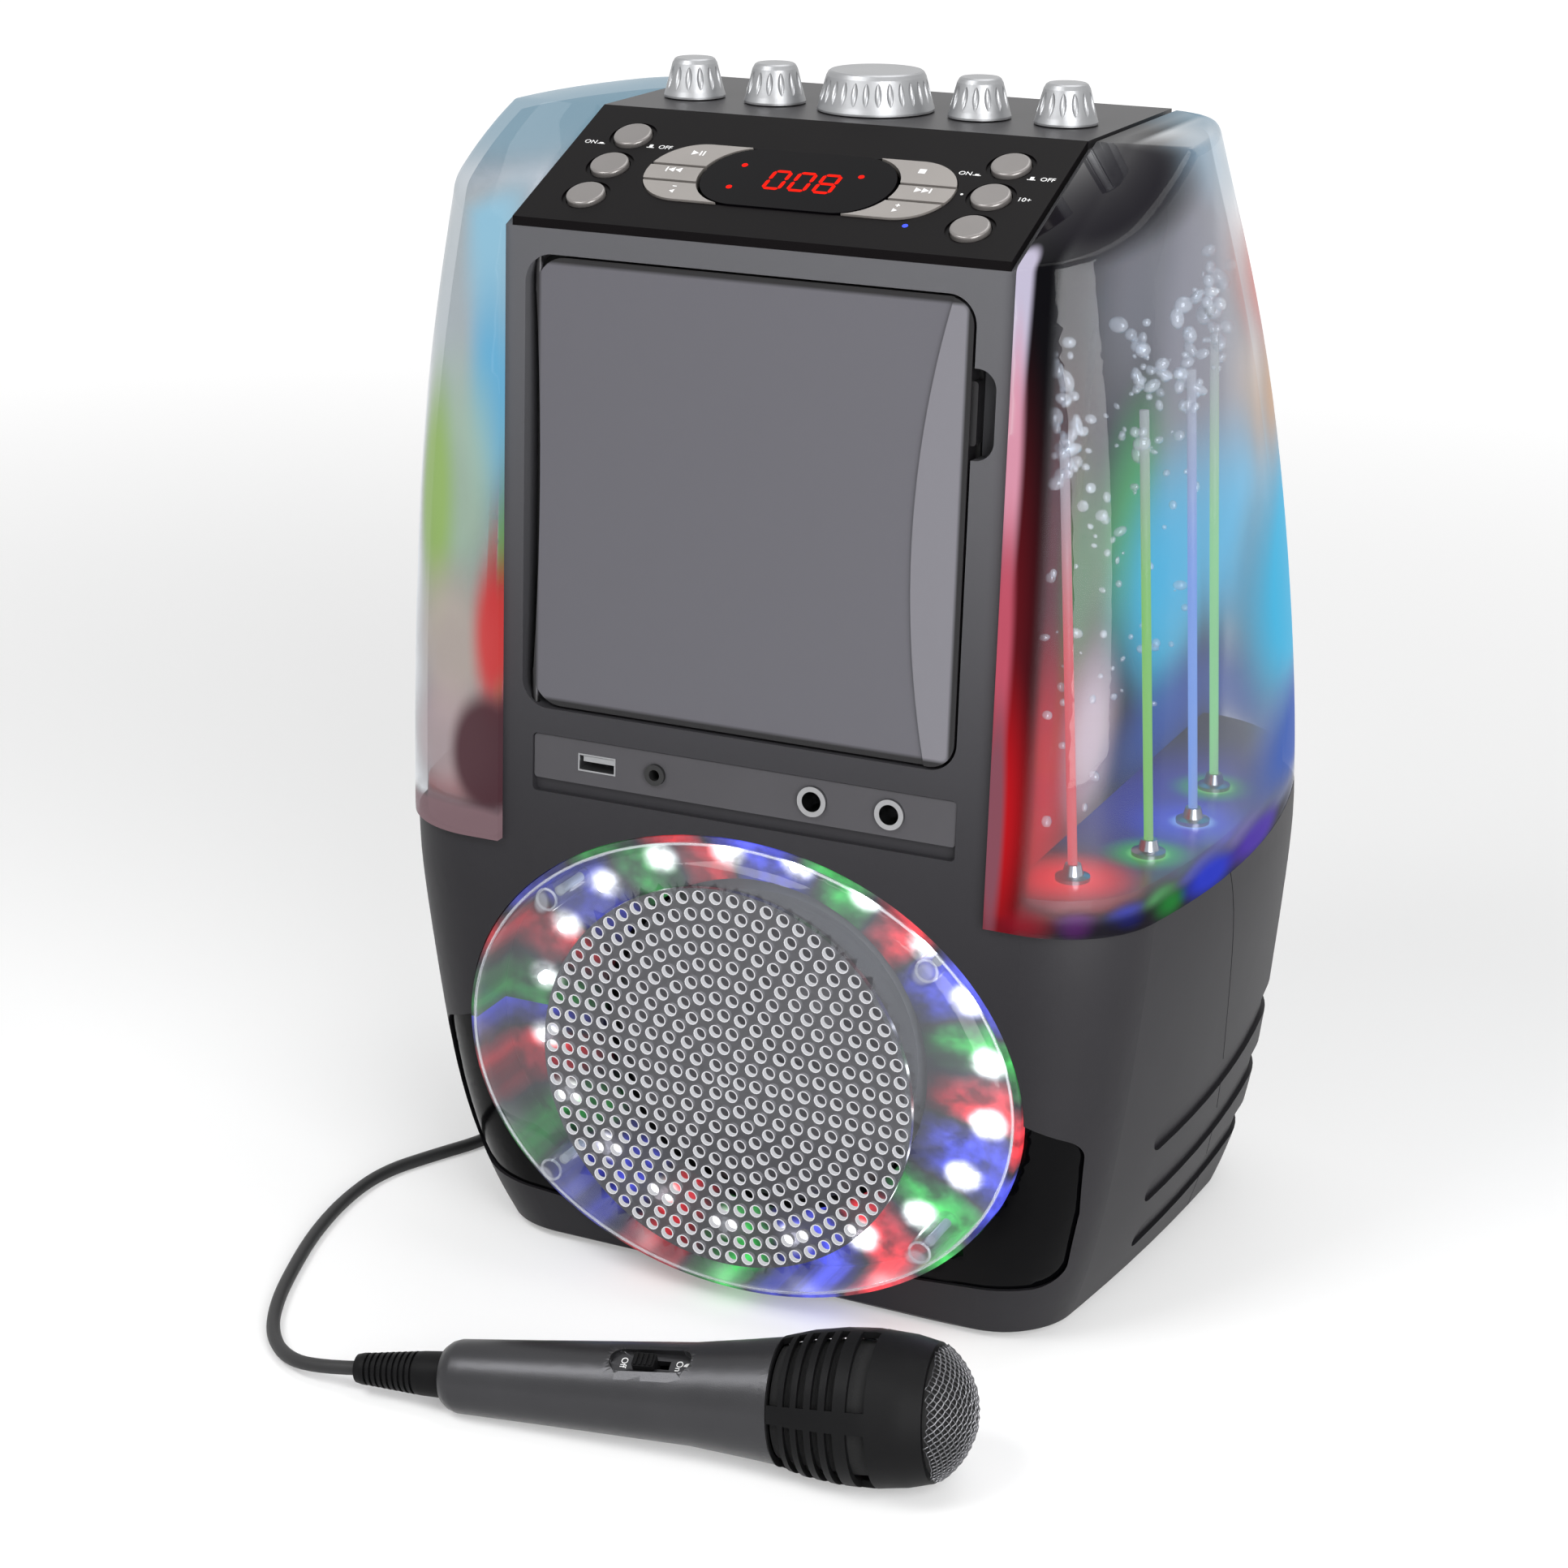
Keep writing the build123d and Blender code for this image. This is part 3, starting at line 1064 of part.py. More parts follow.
def mic_cable():
    points = cord_route()
    radii = cord_radii(points)
    path = FilletPolyline(*points, radius=radii)
    section = Plane(origin=points[0], z_dir=points[1] - points[0]) * Circle(CORD_R)
    return sweep(section, path=path)


def mic_cable_coil():
    """Outer form of the put-away turns."""
    x, y = CORD_COIL_AT
    with BuildSketch(Plane.XZ) as turns:
        with Locations((CORD_COIL_R, CORD_COIL_H / 2)):
            RectangleRounded(CORD_COIL_W, CORD_COIL_H, 2.2)
    return Pos(x, y, 0) * revolve(turns.sketch, Axis.Z)


def mic_plug():
    """Jack plug that lies beside the coil, where the last turn leaves it."""
    at = Plane(origin=(CORD_COIL_AT[0] - PLUG_BACK, CORD_COIL_AT[1] + PLUG_OUT, PLUG_GRIP_R),
               x_dir=(0, 0, 1), z_dir=(-1, 0, 0))
    grip = PLUG_GRIP_L
    return revolved(at, [(0, 0), (3.2, 0), (5.0, 9), (PLUG_GRIP_R - 0.6, 10), (PLUG_GRIP_R, 12),
                         (PLUG_GRIP_R, grip - 1), (PLUG_GRIP_R - 1, grip), (PLUG_R, grip),
                         (PLUG_R, grip + PLUG_L - 5), (PLUG_R - 1.0, grip + PLUG_L - 4),
                         (PLUG_R - 0.4, grip + PLUG_L - 2.6), (1.0, grip + PLUG_L), (0, grip + PLUG_L)])


# ---------------------------------------------------------------- assembly
BUTTONS = {
    "repeat_button": (-BUTTON_X, BUTTON_S[0], SHORT_TRAVEL),
    "function_button": (-BUTTON_X, BUTTON_S[1], SHORT_TRAVEL),
    "power_button": (-BUTTON_X, BUTTON_S[2], LATCH_TRAVEL),
    "pairing_button": (BUTTON_X, BUTTON_S[0], SHORT_TRAVEL),
    "ten_plus_button": (BUTTON_X, BUTTON_S[1], SHORT_TRAVEL),
    "disco_light_button": (BUTTON_X, BUTTON_S[2], LATCH_TRAVEL),
}
KEYS = {
    "key_down_key": (-1, 0), "previous_key": (-1, 1), "play_key": (-1, 2),
    "key_up_key": (1, 0), "next_key": (1, 1), "stop_key": (1, 2),
}
KNOBS = {
    "mic_1_knob": (KNOB_X[0], KNOB_R, KNOB_TOP_R, KNOB_FLUTES),
    "mic_2_knob": (KNOB_X[1], KNOB_R, KNOB_TOP_R, KNOB_FLUTES),
    "volume_knob": (0.0, BIG_KNOB_R, BIG_KNOB_TOP_R, BIG_KNOB_FLUTES),
    "echo_knob": (KNOB_X[2], KNOB_R, KNOB_TOP_R, KNOB_FLUTES),
    "balance_knob": (KNOB_X[3], KNOB_R, KNOB_TOP_R, KNOB_FLUTES),
}
CORD_NODES = ("mic_cable", "mic_cable_coil", "mic_plug", "mic_strain_relief")


def assembly():
    nodes = {}
    nodes["front_shell"], nodes["rear_shell"] = shells()
    nodes["control_panel"] = control_panel()
    nodes["top_panel"] = top_panel()
    nodes["display_window"] = display_window()
    nodes["control_board"] = control_board()
    for name, side in (("left", -1), ("right", 1)):
        nodes[name + "_tank"] = tank(side)
        nodes[name + "_fountain_floor"] = fountain_floor(side)
    nodes["fountain_nozzles"] = fountain_nozzles()
    nodes["fountain_pumps"] = fountain_pumps()
    nodes["fountain_leds"] = fountain_leds()
    nodes["speaker_lens"] = speaker_lens()
    nodes["lens_screws"] = lens_screws()
    nodes["speaker_reflector"] = speaker_reflector()
    nodes["disco_leds"] = disco_leds()
    nodes["speaker_basket"] = speaker_basket()
    nodes["speaker_magnet"] = speaker_magnet()
    nodes["speaker_cone"] = speaker_cone()
    nodes["lower_trim"] = lower_trim()
    nodes["jack_panel"] = jack_panel()
    nodes["mic_jacks"] = [jack(x, MIC_BORE_R, MIC_BUSH_R, MIC_JACK_L, 13.0) for x in MIC_JACK_X]
    nodes["line_in_jack"] = jack(LINE_JACK_X, LINE_BORE_R, LINE_BUSH_R, LINE_JACK_L, 8.0)
    nodes["usb_port"] = usb_port()
    nodes["disc_well"] = disc_well()
    nodes["spindle"] = spindle()
    nodes["laser_sled"] = laser_sled()
    nodes["disc_door"] = disc_door()
    for name, (x, s, travel) in BUTTONS.items():
        nodes[name] = round_button(x, s, travel)
    for name, (side, row) in KEYS.items():
        nodes[name] = key(side, row)
    for name, (x, base_r, top_r, flutes) in KNOBS.items():
        nodes[name] = knob(x, base_r, top_r, flutes)
    nodes["potentiometers"] = potentiometers()
    nodes["main_board"] = main_board()
    nodes["rear_sockets"] = rear_sockets()
    nodes["case_screws"] = case_screws()
    nodes["feet"] = feet()
    nodes["mic_handle"] = mic_handle()
    nodes["mic_switch"] = mic_switch()
    nodes["mic_head"] = mic_head()
    nodes["mic_grille"] = mic_grille()
    nodes["mic_strain_relief"] = mic_strain_relief()
    nodes["mic_cable"] = mic_cable()
    nodes["mic_cable_coil"] = mic_cable_coil()
    nodes["mic_plug"] = mic_plug()
    return nodes


def origin_shift(nodes):
    """Moves the middle of the footprint to X = Y = 0; a free cord doesn't count."""
    boxes = [solid.bounding_box() for name, solids in nodes.items() for solid in solids
             if name not in CORD_NODES]
    mid_x = (min(b.min.X for b in boxes) + max(b.max.X for b in boxes)) / 2
    mid_y = (min(b.min.Y for b in boxes) + max(b.max.Y for b in boxes)) / 2
    return Pos(-mid_x, -mid_y, 0)


def solids_of(item):
    pieces = item if isinstance(item, list) else [item]
    return [solid for piece in pieces for solid in piece.solids()]


def main():
    os.makedirs("parts", exist_ok=True)
    nodes = {name: solids_of(item) for name, item in assembly().items()}
    shift = origin_shift(nodes)
    for name, solids in nodes.items():
        placed = [shift * solid for solid in solids]
        body = placed[0] if len(placed) == 1 else Compound(children=placed)
        export_step(body, "parts/" + name + ".step")
    print("origin shift:", shift.position)
    print("cord bend radii:", [round(r, 1) for r in cord_radii(cord_route())])


if __name__ == "__main__":
    main()
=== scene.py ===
import bpy
import json
import random
from math import atan2, cos, pi, radians, sin, sqrt, tan
from mathutils import Matrix, Vector

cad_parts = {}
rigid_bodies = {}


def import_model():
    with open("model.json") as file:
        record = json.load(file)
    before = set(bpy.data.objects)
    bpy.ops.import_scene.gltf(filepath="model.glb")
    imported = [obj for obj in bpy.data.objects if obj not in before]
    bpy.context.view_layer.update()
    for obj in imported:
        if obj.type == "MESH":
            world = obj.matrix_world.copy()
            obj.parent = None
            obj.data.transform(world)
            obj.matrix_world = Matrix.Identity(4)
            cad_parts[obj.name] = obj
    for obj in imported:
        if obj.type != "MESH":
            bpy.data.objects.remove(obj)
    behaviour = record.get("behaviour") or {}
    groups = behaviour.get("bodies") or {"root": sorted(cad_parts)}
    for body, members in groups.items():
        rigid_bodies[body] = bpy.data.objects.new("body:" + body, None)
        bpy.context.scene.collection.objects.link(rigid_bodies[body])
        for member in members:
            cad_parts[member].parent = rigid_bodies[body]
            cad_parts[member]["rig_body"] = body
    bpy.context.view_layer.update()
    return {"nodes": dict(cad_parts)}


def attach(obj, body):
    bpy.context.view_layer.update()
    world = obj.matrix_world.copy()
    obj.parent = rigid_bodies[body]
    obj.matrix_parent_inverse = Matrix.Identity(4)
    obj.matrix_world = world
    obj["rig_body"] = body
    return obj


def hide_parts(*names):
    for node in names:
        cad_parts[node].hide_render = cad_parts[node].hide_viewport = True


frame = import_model()
bpy.ops.object.select_all(action="DESELECT")

# Metres, +Z up, front along -Y.  The drawing's sizes are millimetres, counted from a line 31.08 mm in
# front of the middle of the footprint.
MM = 0.001
SETBACK = 31.08
DECK_Z = 150.0
DOOR_Z = 267.1
DOOR_MID_X, DOOR_HALF_W, DOOR_HALF_H = -1.75, 72.4, 70.4
LEAN = radians(3.0)
SLOPE = atan2(26.0, 59.67)
LENS_Z = 85.0
LENS_Y = -15.0


def at(x, y, z):
    """A point given in the drawing's millimetres."""
    return Vector((x * MM, (y - SETBACK) * MM, z * MM))


def panel_y(z):
    return -15.6 + (z - DECK_Z) * tan(LEAN)


def frame_at(origin, out, right=(1, 0, 0)):
    """Local X to the right and local Z out of a surface, with millimetres as the local unit."""
    z = Vector(out).normalized()
    x = Vector(right)
    x = (x - z * x.dot(z)).normalized()
    m = Matrix((x, z.cross(x), z)).transposed().to_4x4() @ Matrix.Scale(MM, 4)
    m.translation = origin
    return m


SLOPED = frame_at(at(0, panel_y(349.0), 349.0), (0, -sin(SLOPE), cos(SLOPE)))
LENS = frame_at(at(0, LENS_Y, LENS_Z), (0, -1, 0))

# microphone: local Z along its axis from the tail to the head
MIC_TILT = 0.0905
MIC_YAW = radians(8.8)
MIC_DIR = Vector((cos(MIC_TILT) * cos(MIC_YAW), cos(MIC_TILT) * sin(MIC_YAW), sin(MIC_TILT)))
MIC_UP = Matrix.Rotation(radians(22.0), 3, MIC_DIR) @ Vector((0, 0, 1))
MIC = frame_at(at(-48.8, -109.9, 11.35), MIC_DIR, MIC_UP)
MIC_FLANK = frame_at(at(-48.8, -109.9, 11.35), MIC_UP - MIC_DIR * MIC_UP.dot(MIC_DIR), MIC_DIR)
MIC_PLATE = 12.4

# ---------------------------------------------------------------- camera
AZIMUTH, ELEVATION, ROLL = 0.4411, 0.3446, 0.0073
ahead = Vector((-sin(AZIMUTH) * cos(ELEVATION), cos(AZIMUTH) * cos(ELEVATION), -sin(ELEVATION)))
level = Vector((cos(AZIMUTH), sin(AZIMUTH), 0))
upright = level.cross(ahead)
across = level * cos(ROLL) + upright * sin(ROLL)
camera_data = bpy.data.cameras.new("camera")
camera_data.sensor_width = 36.0
camera_data.lens = 75.02
camera_data.shift_x = 0.00916
camera_data.clip_end = 20
camera = bpy.data.objects.new("camera", camera_data)
bpy.context.scene.collection.objects.link(camera)
camera_place = Matrix((across, across.cross(ahead), -ahead)).transposed().to_4x4()
camera_place.translation = at(413.9, -868.1, 522.2)
camera.matrix_world = camera_place
bpy.context.scene.camera = camera
bpy.context.scene.view_settings.view_transform = "Standard"


# ---------------------------------------------------------------- making pieces
def active():
    return bpy.context.view_layer.objects.active


def only(obj):
    bpy.ops.object.select_all(action="DESELECT")
    obj.select_set(True)
    bpy.context.view_layer.objects.active = obj


def settle(obj, name, matrix=None, material=None, body="cabinet"):
    """Bake a piece's place into its mesh, name it, give it its finish and let it ride on a body."""
    only(obj)
    if obj.type != "MESH":
        bpy.ops.object.convert(target="MESH")
        obj = active()
    if matrix is not None:
        obj.matrix_world = matrix @ obj.matrix_world
    bpy.ops.object.transform_apply(location=True, rotation=True, scale=True)
    obj.name = name
    obj.data.name = name
    if material is not None:
        obj.data.materials.clear()
        obj.data.materials.append(material)
    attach(obj, body)
    return obj


def join(objects):
    bpy.ops.object.select_all(action="DESELECT")
    for o in objects:
        o.select_set(True)
    bpy.context.view_layer.objects.active = objects[0]
    bpy.ops.object.join()
    return active()


def welded(node):
    """A copy of a drawn part with its triangles joined, ready for rounding and smooth shading."""
    only(frame["nodes"][node])
    bpy.ops.object.duplicate()
    copy = active()
    copy.parent = None
    for key in list(copy.keys()):
        del copy[key]
    bpy.ops.object.mode_set(mode="EDIT")
    bpy.ops.mesh.select_all(action="SELECT")
    bpy.ops.mesh.remove_doubles(threshold=0.00001)
    bpy.ops.object.mode_set(mode="OBJECT")
    return copy


# ---------------------------------------------------------------- finishes
def hexa(code, alpha=1.0):
    """sRGB hex to the linear colour that the shaders use."""
    parts = [int(code[i:i + 2], 16) / 255 for i in (0, 2, 4)]
    return tuple(c / 12.92 if c <= 0.04045 else ((c + 0.055) / 1.055) ** 2.4 for c in parts) + (alpha,)


def add(tree, kind, inputs=(), stops=None, **settings):
    """One shader node with its settings, colour stops, values and links."""
    n = tree.nodes.new("ShaderNode" + kind)
    for key, value in settings.items():
        setattr(n, key, value)
    if stops:
        marks = n.color_ramp.elements
        while len(marks) < len(stops):
            marks.new(1.0)
        for mark, (place, code) in zip(marks, stops):
            mark.position = place
            mark.color = hexa(code)
    for key, value in dict(inputs).items():
        if isinstance(value, bpy.types.NodeSocket):
            tree.links.new(value, n.inputs[key])
        else:
            n.inputs[key].default_value = value
    return n


def new_finish(name):
    m = bpy.data.materials.new(name)
    m.use_nodes = True
    m.node_tree.nodes.clear()
    return m, m.node_tree


def moulded(name, code, roughness, grain_mm=0.0, bump=0.0, coat=0.0, metallic=0.0, spread=0.08, ior=1.5,
            painted_light_top=None):
    """A moulded, painted or plated skin: one colour that wanders a little, and a fine grain.  With a
    top colour given, the skin grows lighter from the deck up: painted light, for the light that falls on its
    higher parts."""
    m, tree = new_finish(name)
    place = add(tree, "TexCoord").outputs["Object"]
    drift = add(tree, "TexNoise", {"Vector": place, "Scale": 1 / (18 * MM), "Detail": 2.0})
    base = hexa(code)
    low = tuple(c * (1 - spread) for c in base[:3]) + (1.0,)
    high = tuple(min(1, c * (1 + spread)) for c in base[:3]) + (1.0,)
    tint = add(tree, "Mix", {"Factor": drift.outputs["Fac"], "A": low, "B": high}, data_type="RGBA")
    # painted light: the colour lightens towards the top colour from the deck up
    if painted_light_top:
        height = add(tree, "SeparateXYZ", {"Vector": place}).outputs["Z"]
        rise = add(tree, "MapRange", {"Value": height, "From Min": 120 * MM, "From Max": 360 * MM},
                   interpolation_type="SMOOTHSTEP")
        tint = add(tree, "Mix", {"Factor": rise.outputs["Result"], "A": tint.outputs["Result"],
                                 "B": hexa(painted_light_top)}, data_type="RGBA")
    shader = add(tree, "BsdfPrincipled", {"Base Color": tint.outputs["Result"], "Roughness": roughness,
                                          "Metallic": metallic, "Coat Weight": coat, "Coat Roughness": 0.08})
    if metallic < 0.5:
        shader.inputs["IOR"].default_value = ior
    if grain_mm:
        grain = add(tree, "TexNoise", {"Vector": place, "Scale": 1 / (grain_mm * MM), "Detail": 3.0})
        relief = add(tree, "Bump", {"Height": grain.outputs["Fac"], "Strength": bump, "Distance": 0.0002})
        tree.links.new(relief.outputs["Normal"], shader.inputs["Normal"])
    add(tree, "OutputMaterial", {"Surface": shader.outputs["BSDF"]})
    return m


def pools(tree, base, spots, mirrored=False):
    """Soft pools of painted coloured light and shade laid one over another.  A pool is its middle (the drawing's
    millimetres), its reach along X, Y and Z, its colour, how much it covers and how flat it is."""
    place = add(tree, "TexCoord").outputs["Object"]
    if mirrored:
        axes = add(tree, "SeparateXYZ", {"Vector": place}).outputs
        right = add(tree, "Math", {0: axes["X"]}, operation="ABSOLUTE")
        place = add(tree, "CombineXYZ", {"X": right.outputs[0], "Y": axes["Y"],
                                         "Z": axes["Z"]}).outputs[0]
    colour, cover = hexa(base), 0.0
    for middle, reach, code, most, flat in spots:
        away = add(tree, "VectorMath", {0: place, 1: at(*middle)}, operation="SUBTRACT")
        shares = add(tree, "VectorMath", {0: away.outputs[0], 1: Vector(reach) * MM}, operation="DIVIDE")
        far = add(tree, "VectorMath", {0: shares.outputs[0]}, operation="LENGTH")
        near = add(tree, "MapRange", {"Value": far.outputs["Value"], "From Min": 1.0, "From Max": flat,
                                      "To Min": 0.0, "To Max": most}, interpolation_type="SMOOTHSTEP")
        near = near.outputs["Result"]
        colour = add(tree, "Mix", {"Factor": near, "A": colour, "B": hexa(code)},
                     data_type="RGBA").outputs["Result"]
        cover = add(tree, "Mix", {"Factor": near, "A": cover, "B": 1.0},
                    data_type="FLOAT").outputs["Result"]
    return colour, cover


def clear(name, tint, haze, haze_code, roughness=0.02, ior=1.3, spots=(), mirrored=False, waves=0.0):
    """Clear moulded polystyrene: see-through, a mirror at a glancing angle, a faint milky film, and
    the glow of the lamps in it, painted on as emission together with painted shade and highlights."""
    m, tree = new_finish(name)
    behind = add(tree, "NewGeometry").outputs["Backfacing"]
    front = add(tree, "Math", {0: 1.0, 1: behind}, operation="SUBTRACT")
    glance = add(tree, "Fresnel", {"IOR": ior})
    mirror = add(tree, "Math", {0: glance.outputs[0], 1: front.outputs[0]}, operation="MULTIPLY")
    through = add(tree, "BsdfTransparent", {"Color": hexa(tint)})
    shine = add(tree, "BsdfGlossy", {"Color": (1, 1, 1, 1), "Roughness": roughness})
    if waves:
        place = add(tree, "TexCoord").outputs["Object"]
        swell = add(tree, "TexNoise", {"Vector": place, "Scale": 1 / (14 * MM), "Detail": 1.0})
        relief = add(tree, "Bump", {"Height": swell.outputs["Fac"], "Strength": waves, "Distance": 0.001})
        tree.links.new(relief.outputs["Normal"], shine.inputs["Normal"])
    film = add(tree, "BsdfDiffuse", {"Color": hexa(haze_code)})
    body = add(tree, "MixShader", {"Fac": haze, 1: through.outputs[0], 2: film.outputs[0]}).outputs[0]
    # painted light and shade laid over the clear skin as emission; where it covers, the mirror fades
    if spots:
        colour, cover = pools(tree, "000000", spots, mirrored)
        glow = add(tree, "Emission", {"Color": colour, "Strength": 1.0})
        body = add(tree, "MixShader", {"Fac": cover, 1: body, 2: glow.outputs[0]}).outputs[0]
        bare = add(tree, "Math", {0: cover, 1: -0.8, 2: 1.0}, operation="MULTIPLY_ADD")
        mirror = add(tree, "Math", {0: mirror.outputs[0], 1: bare.outputs[0]}, operation="MULTIPLY")
    both = add(tree, "MixShader", {"Fac": mirror.outputs[0], 1: body, 2: shine.outputs[0]})
    add(tree, "OutputMaterial", {"Surface": both.outputs[0]})
    return m


def lit(name, code, roughness, spots, strength=1.0):
    """A moulded skin with the lamps' light painted on it in pools of glow."""
    m, tree = new_finish(name)
    colour, cover = pools(tree, "000000", spots, mirrored=True)
    shader = add(tree, "BsdfPrincipled", {"Base Color": hexa(code), "Roughness": roughness,
                                          "Emission Color": colour, "Emission Strength": strength})
    add(tree, "OutputMaterial", {"Surface": shader.outputs["BSDF"]})
    return m


def disco(name, strength, whiteness, floor_code):
    """Lamps in red, green and blue round the speaker, their light painted as glow fanned out over the drum's
    floor.
    """
    m, tree = new_finish(name)
    place = add(tree, "TexCoord").outputs["Object"]
    axes = add(tree, "SeparateXYZ", {"Vector": place}).outputs
    across = add(tree, "Math", {0: axes["X"], 1: 80.0 * MM}, operation="DIVIDE").outputs[0]
    lifted = add(tree, "Math", {0: axes["Z"], 1: LENS_Z * MM}, operation="SUBTRACT").outputs[0]
    up = add(tree, "Math", {0: lifted, 1: 66.8 * MM}, operation="DIVIDE").outputs[0]
    turn = add(tree, "Math", {0: up, 1: across}, operation="ARCTAN2").outputs[0]
    grain = add(tree, "TexNoise", {"Vector": place, "Scale": 1 / (16 * MM), "Detail": 3.0}).outputs["Fac"]
    lamp = add(tree, "Math", {0: turn, 1: 20 / (2 * pi) / 3, 2: 5.03}, operation="MULTIPLY_ADD").outputs[0]
    wander = add(tree, "Math", {0: grain, 1: 0.14, 2: lamp}, operation="MULTIPLY_ADD").outputs[0]
    phase = add(tree, "Math", {0: wander}, operation="FRACT").outputs[0]
    hue = add(tree, "ValToRGB", {"Fac": phase},
              [(0.0, "c81420"), (0.09, "a01020"), (0.2, "0a0810"), (0.3, "0c6a26"), (0.38, "169034"),
               (0.5, "081018"), (0.6, "1c2490"), (0.78, "343cb8"), (0.9, "120818"), (1.0, "c81420")])
    one = add(tree, "CombineXYZ", {"X": across, "Y": up}).outputs[0]
    ring = add(tree, "VectorMath", {0: one}, operation="LENGTH").outputs["Value"]
    inner = add(tree, "MapRange", {"Value": ring, "From Min": 0.72, "From Max": 0.95, "To Min": 0.05,
                                   "To Max": 1.0}, interpolation_type="SMOOTHSTEP").outputs["Result"]
    # the painted glow is stronger on the right than on the left
    side = add(tree, "MapRange", {"Value": axes["X"], "From Min": -0.07, "From Max": 0.07, "To Min": 0.45,
                                  "To Max": 1.5}).outputs["Result"]
    rays = add(tree, "CombineXYZ", {"X": turn, "Y": ring}).outputs[0]
    streak = add(tree, "TexNoise", {"Vector": rays, "Scale": 9.0, "Detail": 4.0}).outputs["Fac"]
    streak = add(tree, "MapRange", {"Value": streak, "From Min": 0.35, "From Max": 0.7, "To Min": 0.35,
                                    "To Max": 1.7}).outputs["Result"]
    power = add(tree, "Math", {0: inner, 1: side}, operation="MULTIPLY").outputs[0]
    power = add(tree, "Math", {0: power, 1: streak}, operation="MULTIPLY").outputs[0]
    # a painted white-hot halo of light over each lamp
    count = add(tree, "Math", {0: turn, 1: 20 / (2 * pi), 2: 20.0}, operation="MULTIPLY_ADD").outputs[0]
    part = add(tree, "Math", {0: count}, operation="FRACT").outputs[0]
    beside = add(tree, "Math", {0: part, 1: 23.0, 2: -11.5}, operation="MULTIPLY_ADD").outputs[0]
    above = add(tree, "Math", {0: ring, 1: 73.0, 2: -73.0}, operation="MULTIPLY_ADD").outputs[0]
    off = add(tree, "CombineXYZ", {"X": beside, "Y": above}).outputs[0]
    off = add(tree, "VectorMath", {0: off}, operation="LENGTH").outputs["Value"]
    halo = add(tree, "MapRange", {"Value": off, "From Min": 7.5, "From Max": 1.0, "To Min": whiteness,
                                  "To Max": 0.75}, interpolation_type="SMOOTHSTEP").outputs["Result"]
    flare = add(tree, "MapRange", {"Value": off, "From Min": 9.0, "From Max": 1.0, "To Min": 1.0,
                                   "To Max": 3.5}, interpolation_type="SMOOTHSTEP").outputs["Result"]
    power = add(tree, "Math", {0: power, 1: flare}, operation="MULTIPLY").outputs[0]
    power = add(tree, "Math", {0: power, 1: strength}, operation="MULTIPLY").outputs[0]
    colour = add(tree, "Mix", {"Factor": halo, "A": hue.outputs["Color"], "B": (1, 1, 1, 1)},
                 data_type="RGBA").outputs["Result"]
    shader = add(tree, "BsdfPrincipled", {"Base Color": hexa(floor_code), "Roughness": 0.35,
                                          "Emission Color": colour, "Emission Strength": power})
    add(tree, "OutputMaterial", {"Surface": shader.outputs["BSDF"]})
    return m


def glowing(name, code, strength):
    m, tree = new_finish(name)
    light = add(tree, "Emission", {"Color": hexa(code), "Strength": strength})
    add(tree, "OutputMaterial", {"Surface": light.outputs[0]})
    return m


# spark-eroded ABS: dark, with a soft sheen and a grain finer than sand
# charcoal_abs is painted lighter towards the top, standing for the light its higher frame catches
charcoal_abs = moulded("charcoal_abs", "212023", 0.48, 0.7, 0.12, ior=1.28, painted_light_top="505053")
smooth_abs = moulded("smooth_charcoal_abs", "242325", 0.42, 0.9, 0.06, ior=1.35)
piano_black = moulded("piano_black_abs", "040405", 0.1, ior=1.16)
panel_ink = moulded("printed_black_overlay", "0a0809", 0.36, 0.5, 0.03, ior=1.14)
grey_strip = moulded("satin_grey_abs", "434245", 0.42, 0.6, 0.06, ior=1.3)
button_grey = moulded("painted_grey_abs", "74706e", 0.3, coat=0.4, metallic=0.35)
key_grey = moulded("pearl_grey_abs", "8d8884", 0.28, coat=0.5, metallic=0.4)
silver_paint = moulded("silver_lacquer", "98999b", 0.4, 0.4, 0.04, metallic=0.75)
smoked = moulded("smoked_acrylic", "060507", 0.12, ior=1.15)
nickel = moulded("nickel_plate", "a6a6a8", 0.2, metallic=1.0)
zinc = moulded("zinc_steel", "9fa0a2", 0.35, metallic=1.0)
dark_bore = moulded("black_nylon", "0b0b0c", 0.6)
soft_rubber = moulded("black_rubber", "151516", 0.55, 0.8, 0.1)
mic_lacquer = moulded("sanded_metal_lacquer", "404042", 0.3, 0.35, 0.2, metallic=0.85, spread=0.12)
mic_nylon = moulded("matte_black_nylon", "0c0c0d", 0.5, 0.5, 0.1, ior=1.2)
cone_paper = moulded("pressed_paper", "6f6e70", 0.8, 1.2, 0.3)
board_green = moulded("solder_mask", "1c4a2a", 0.35, 1.0, 0.05)
# the clear dome, with a painted pale glow on each of its four clear pillars
dome_clear = clear("clear_dome_polystyrene", "f4f6f8", 0.04, "dfe3ea", waves=0.02, mirrored=True, spots=[
    ((66, -18, 133), (4.6, 16, 4.6), "d8dce6", 0.6, 0.5),
    ((66, -18, 37), (4.6, 16, 4.6), "d8dce6", 0.6, 0.5),
])
sound_field = clear("smoked_sound_field", "9c9ca0", 0.46, "6c6c70", 0.1)
# painted light: the holes' lips and walls glow as lit edges
hole_rims = glowing("painted_glow_hole_rims", "f0f0f4", 0.95)
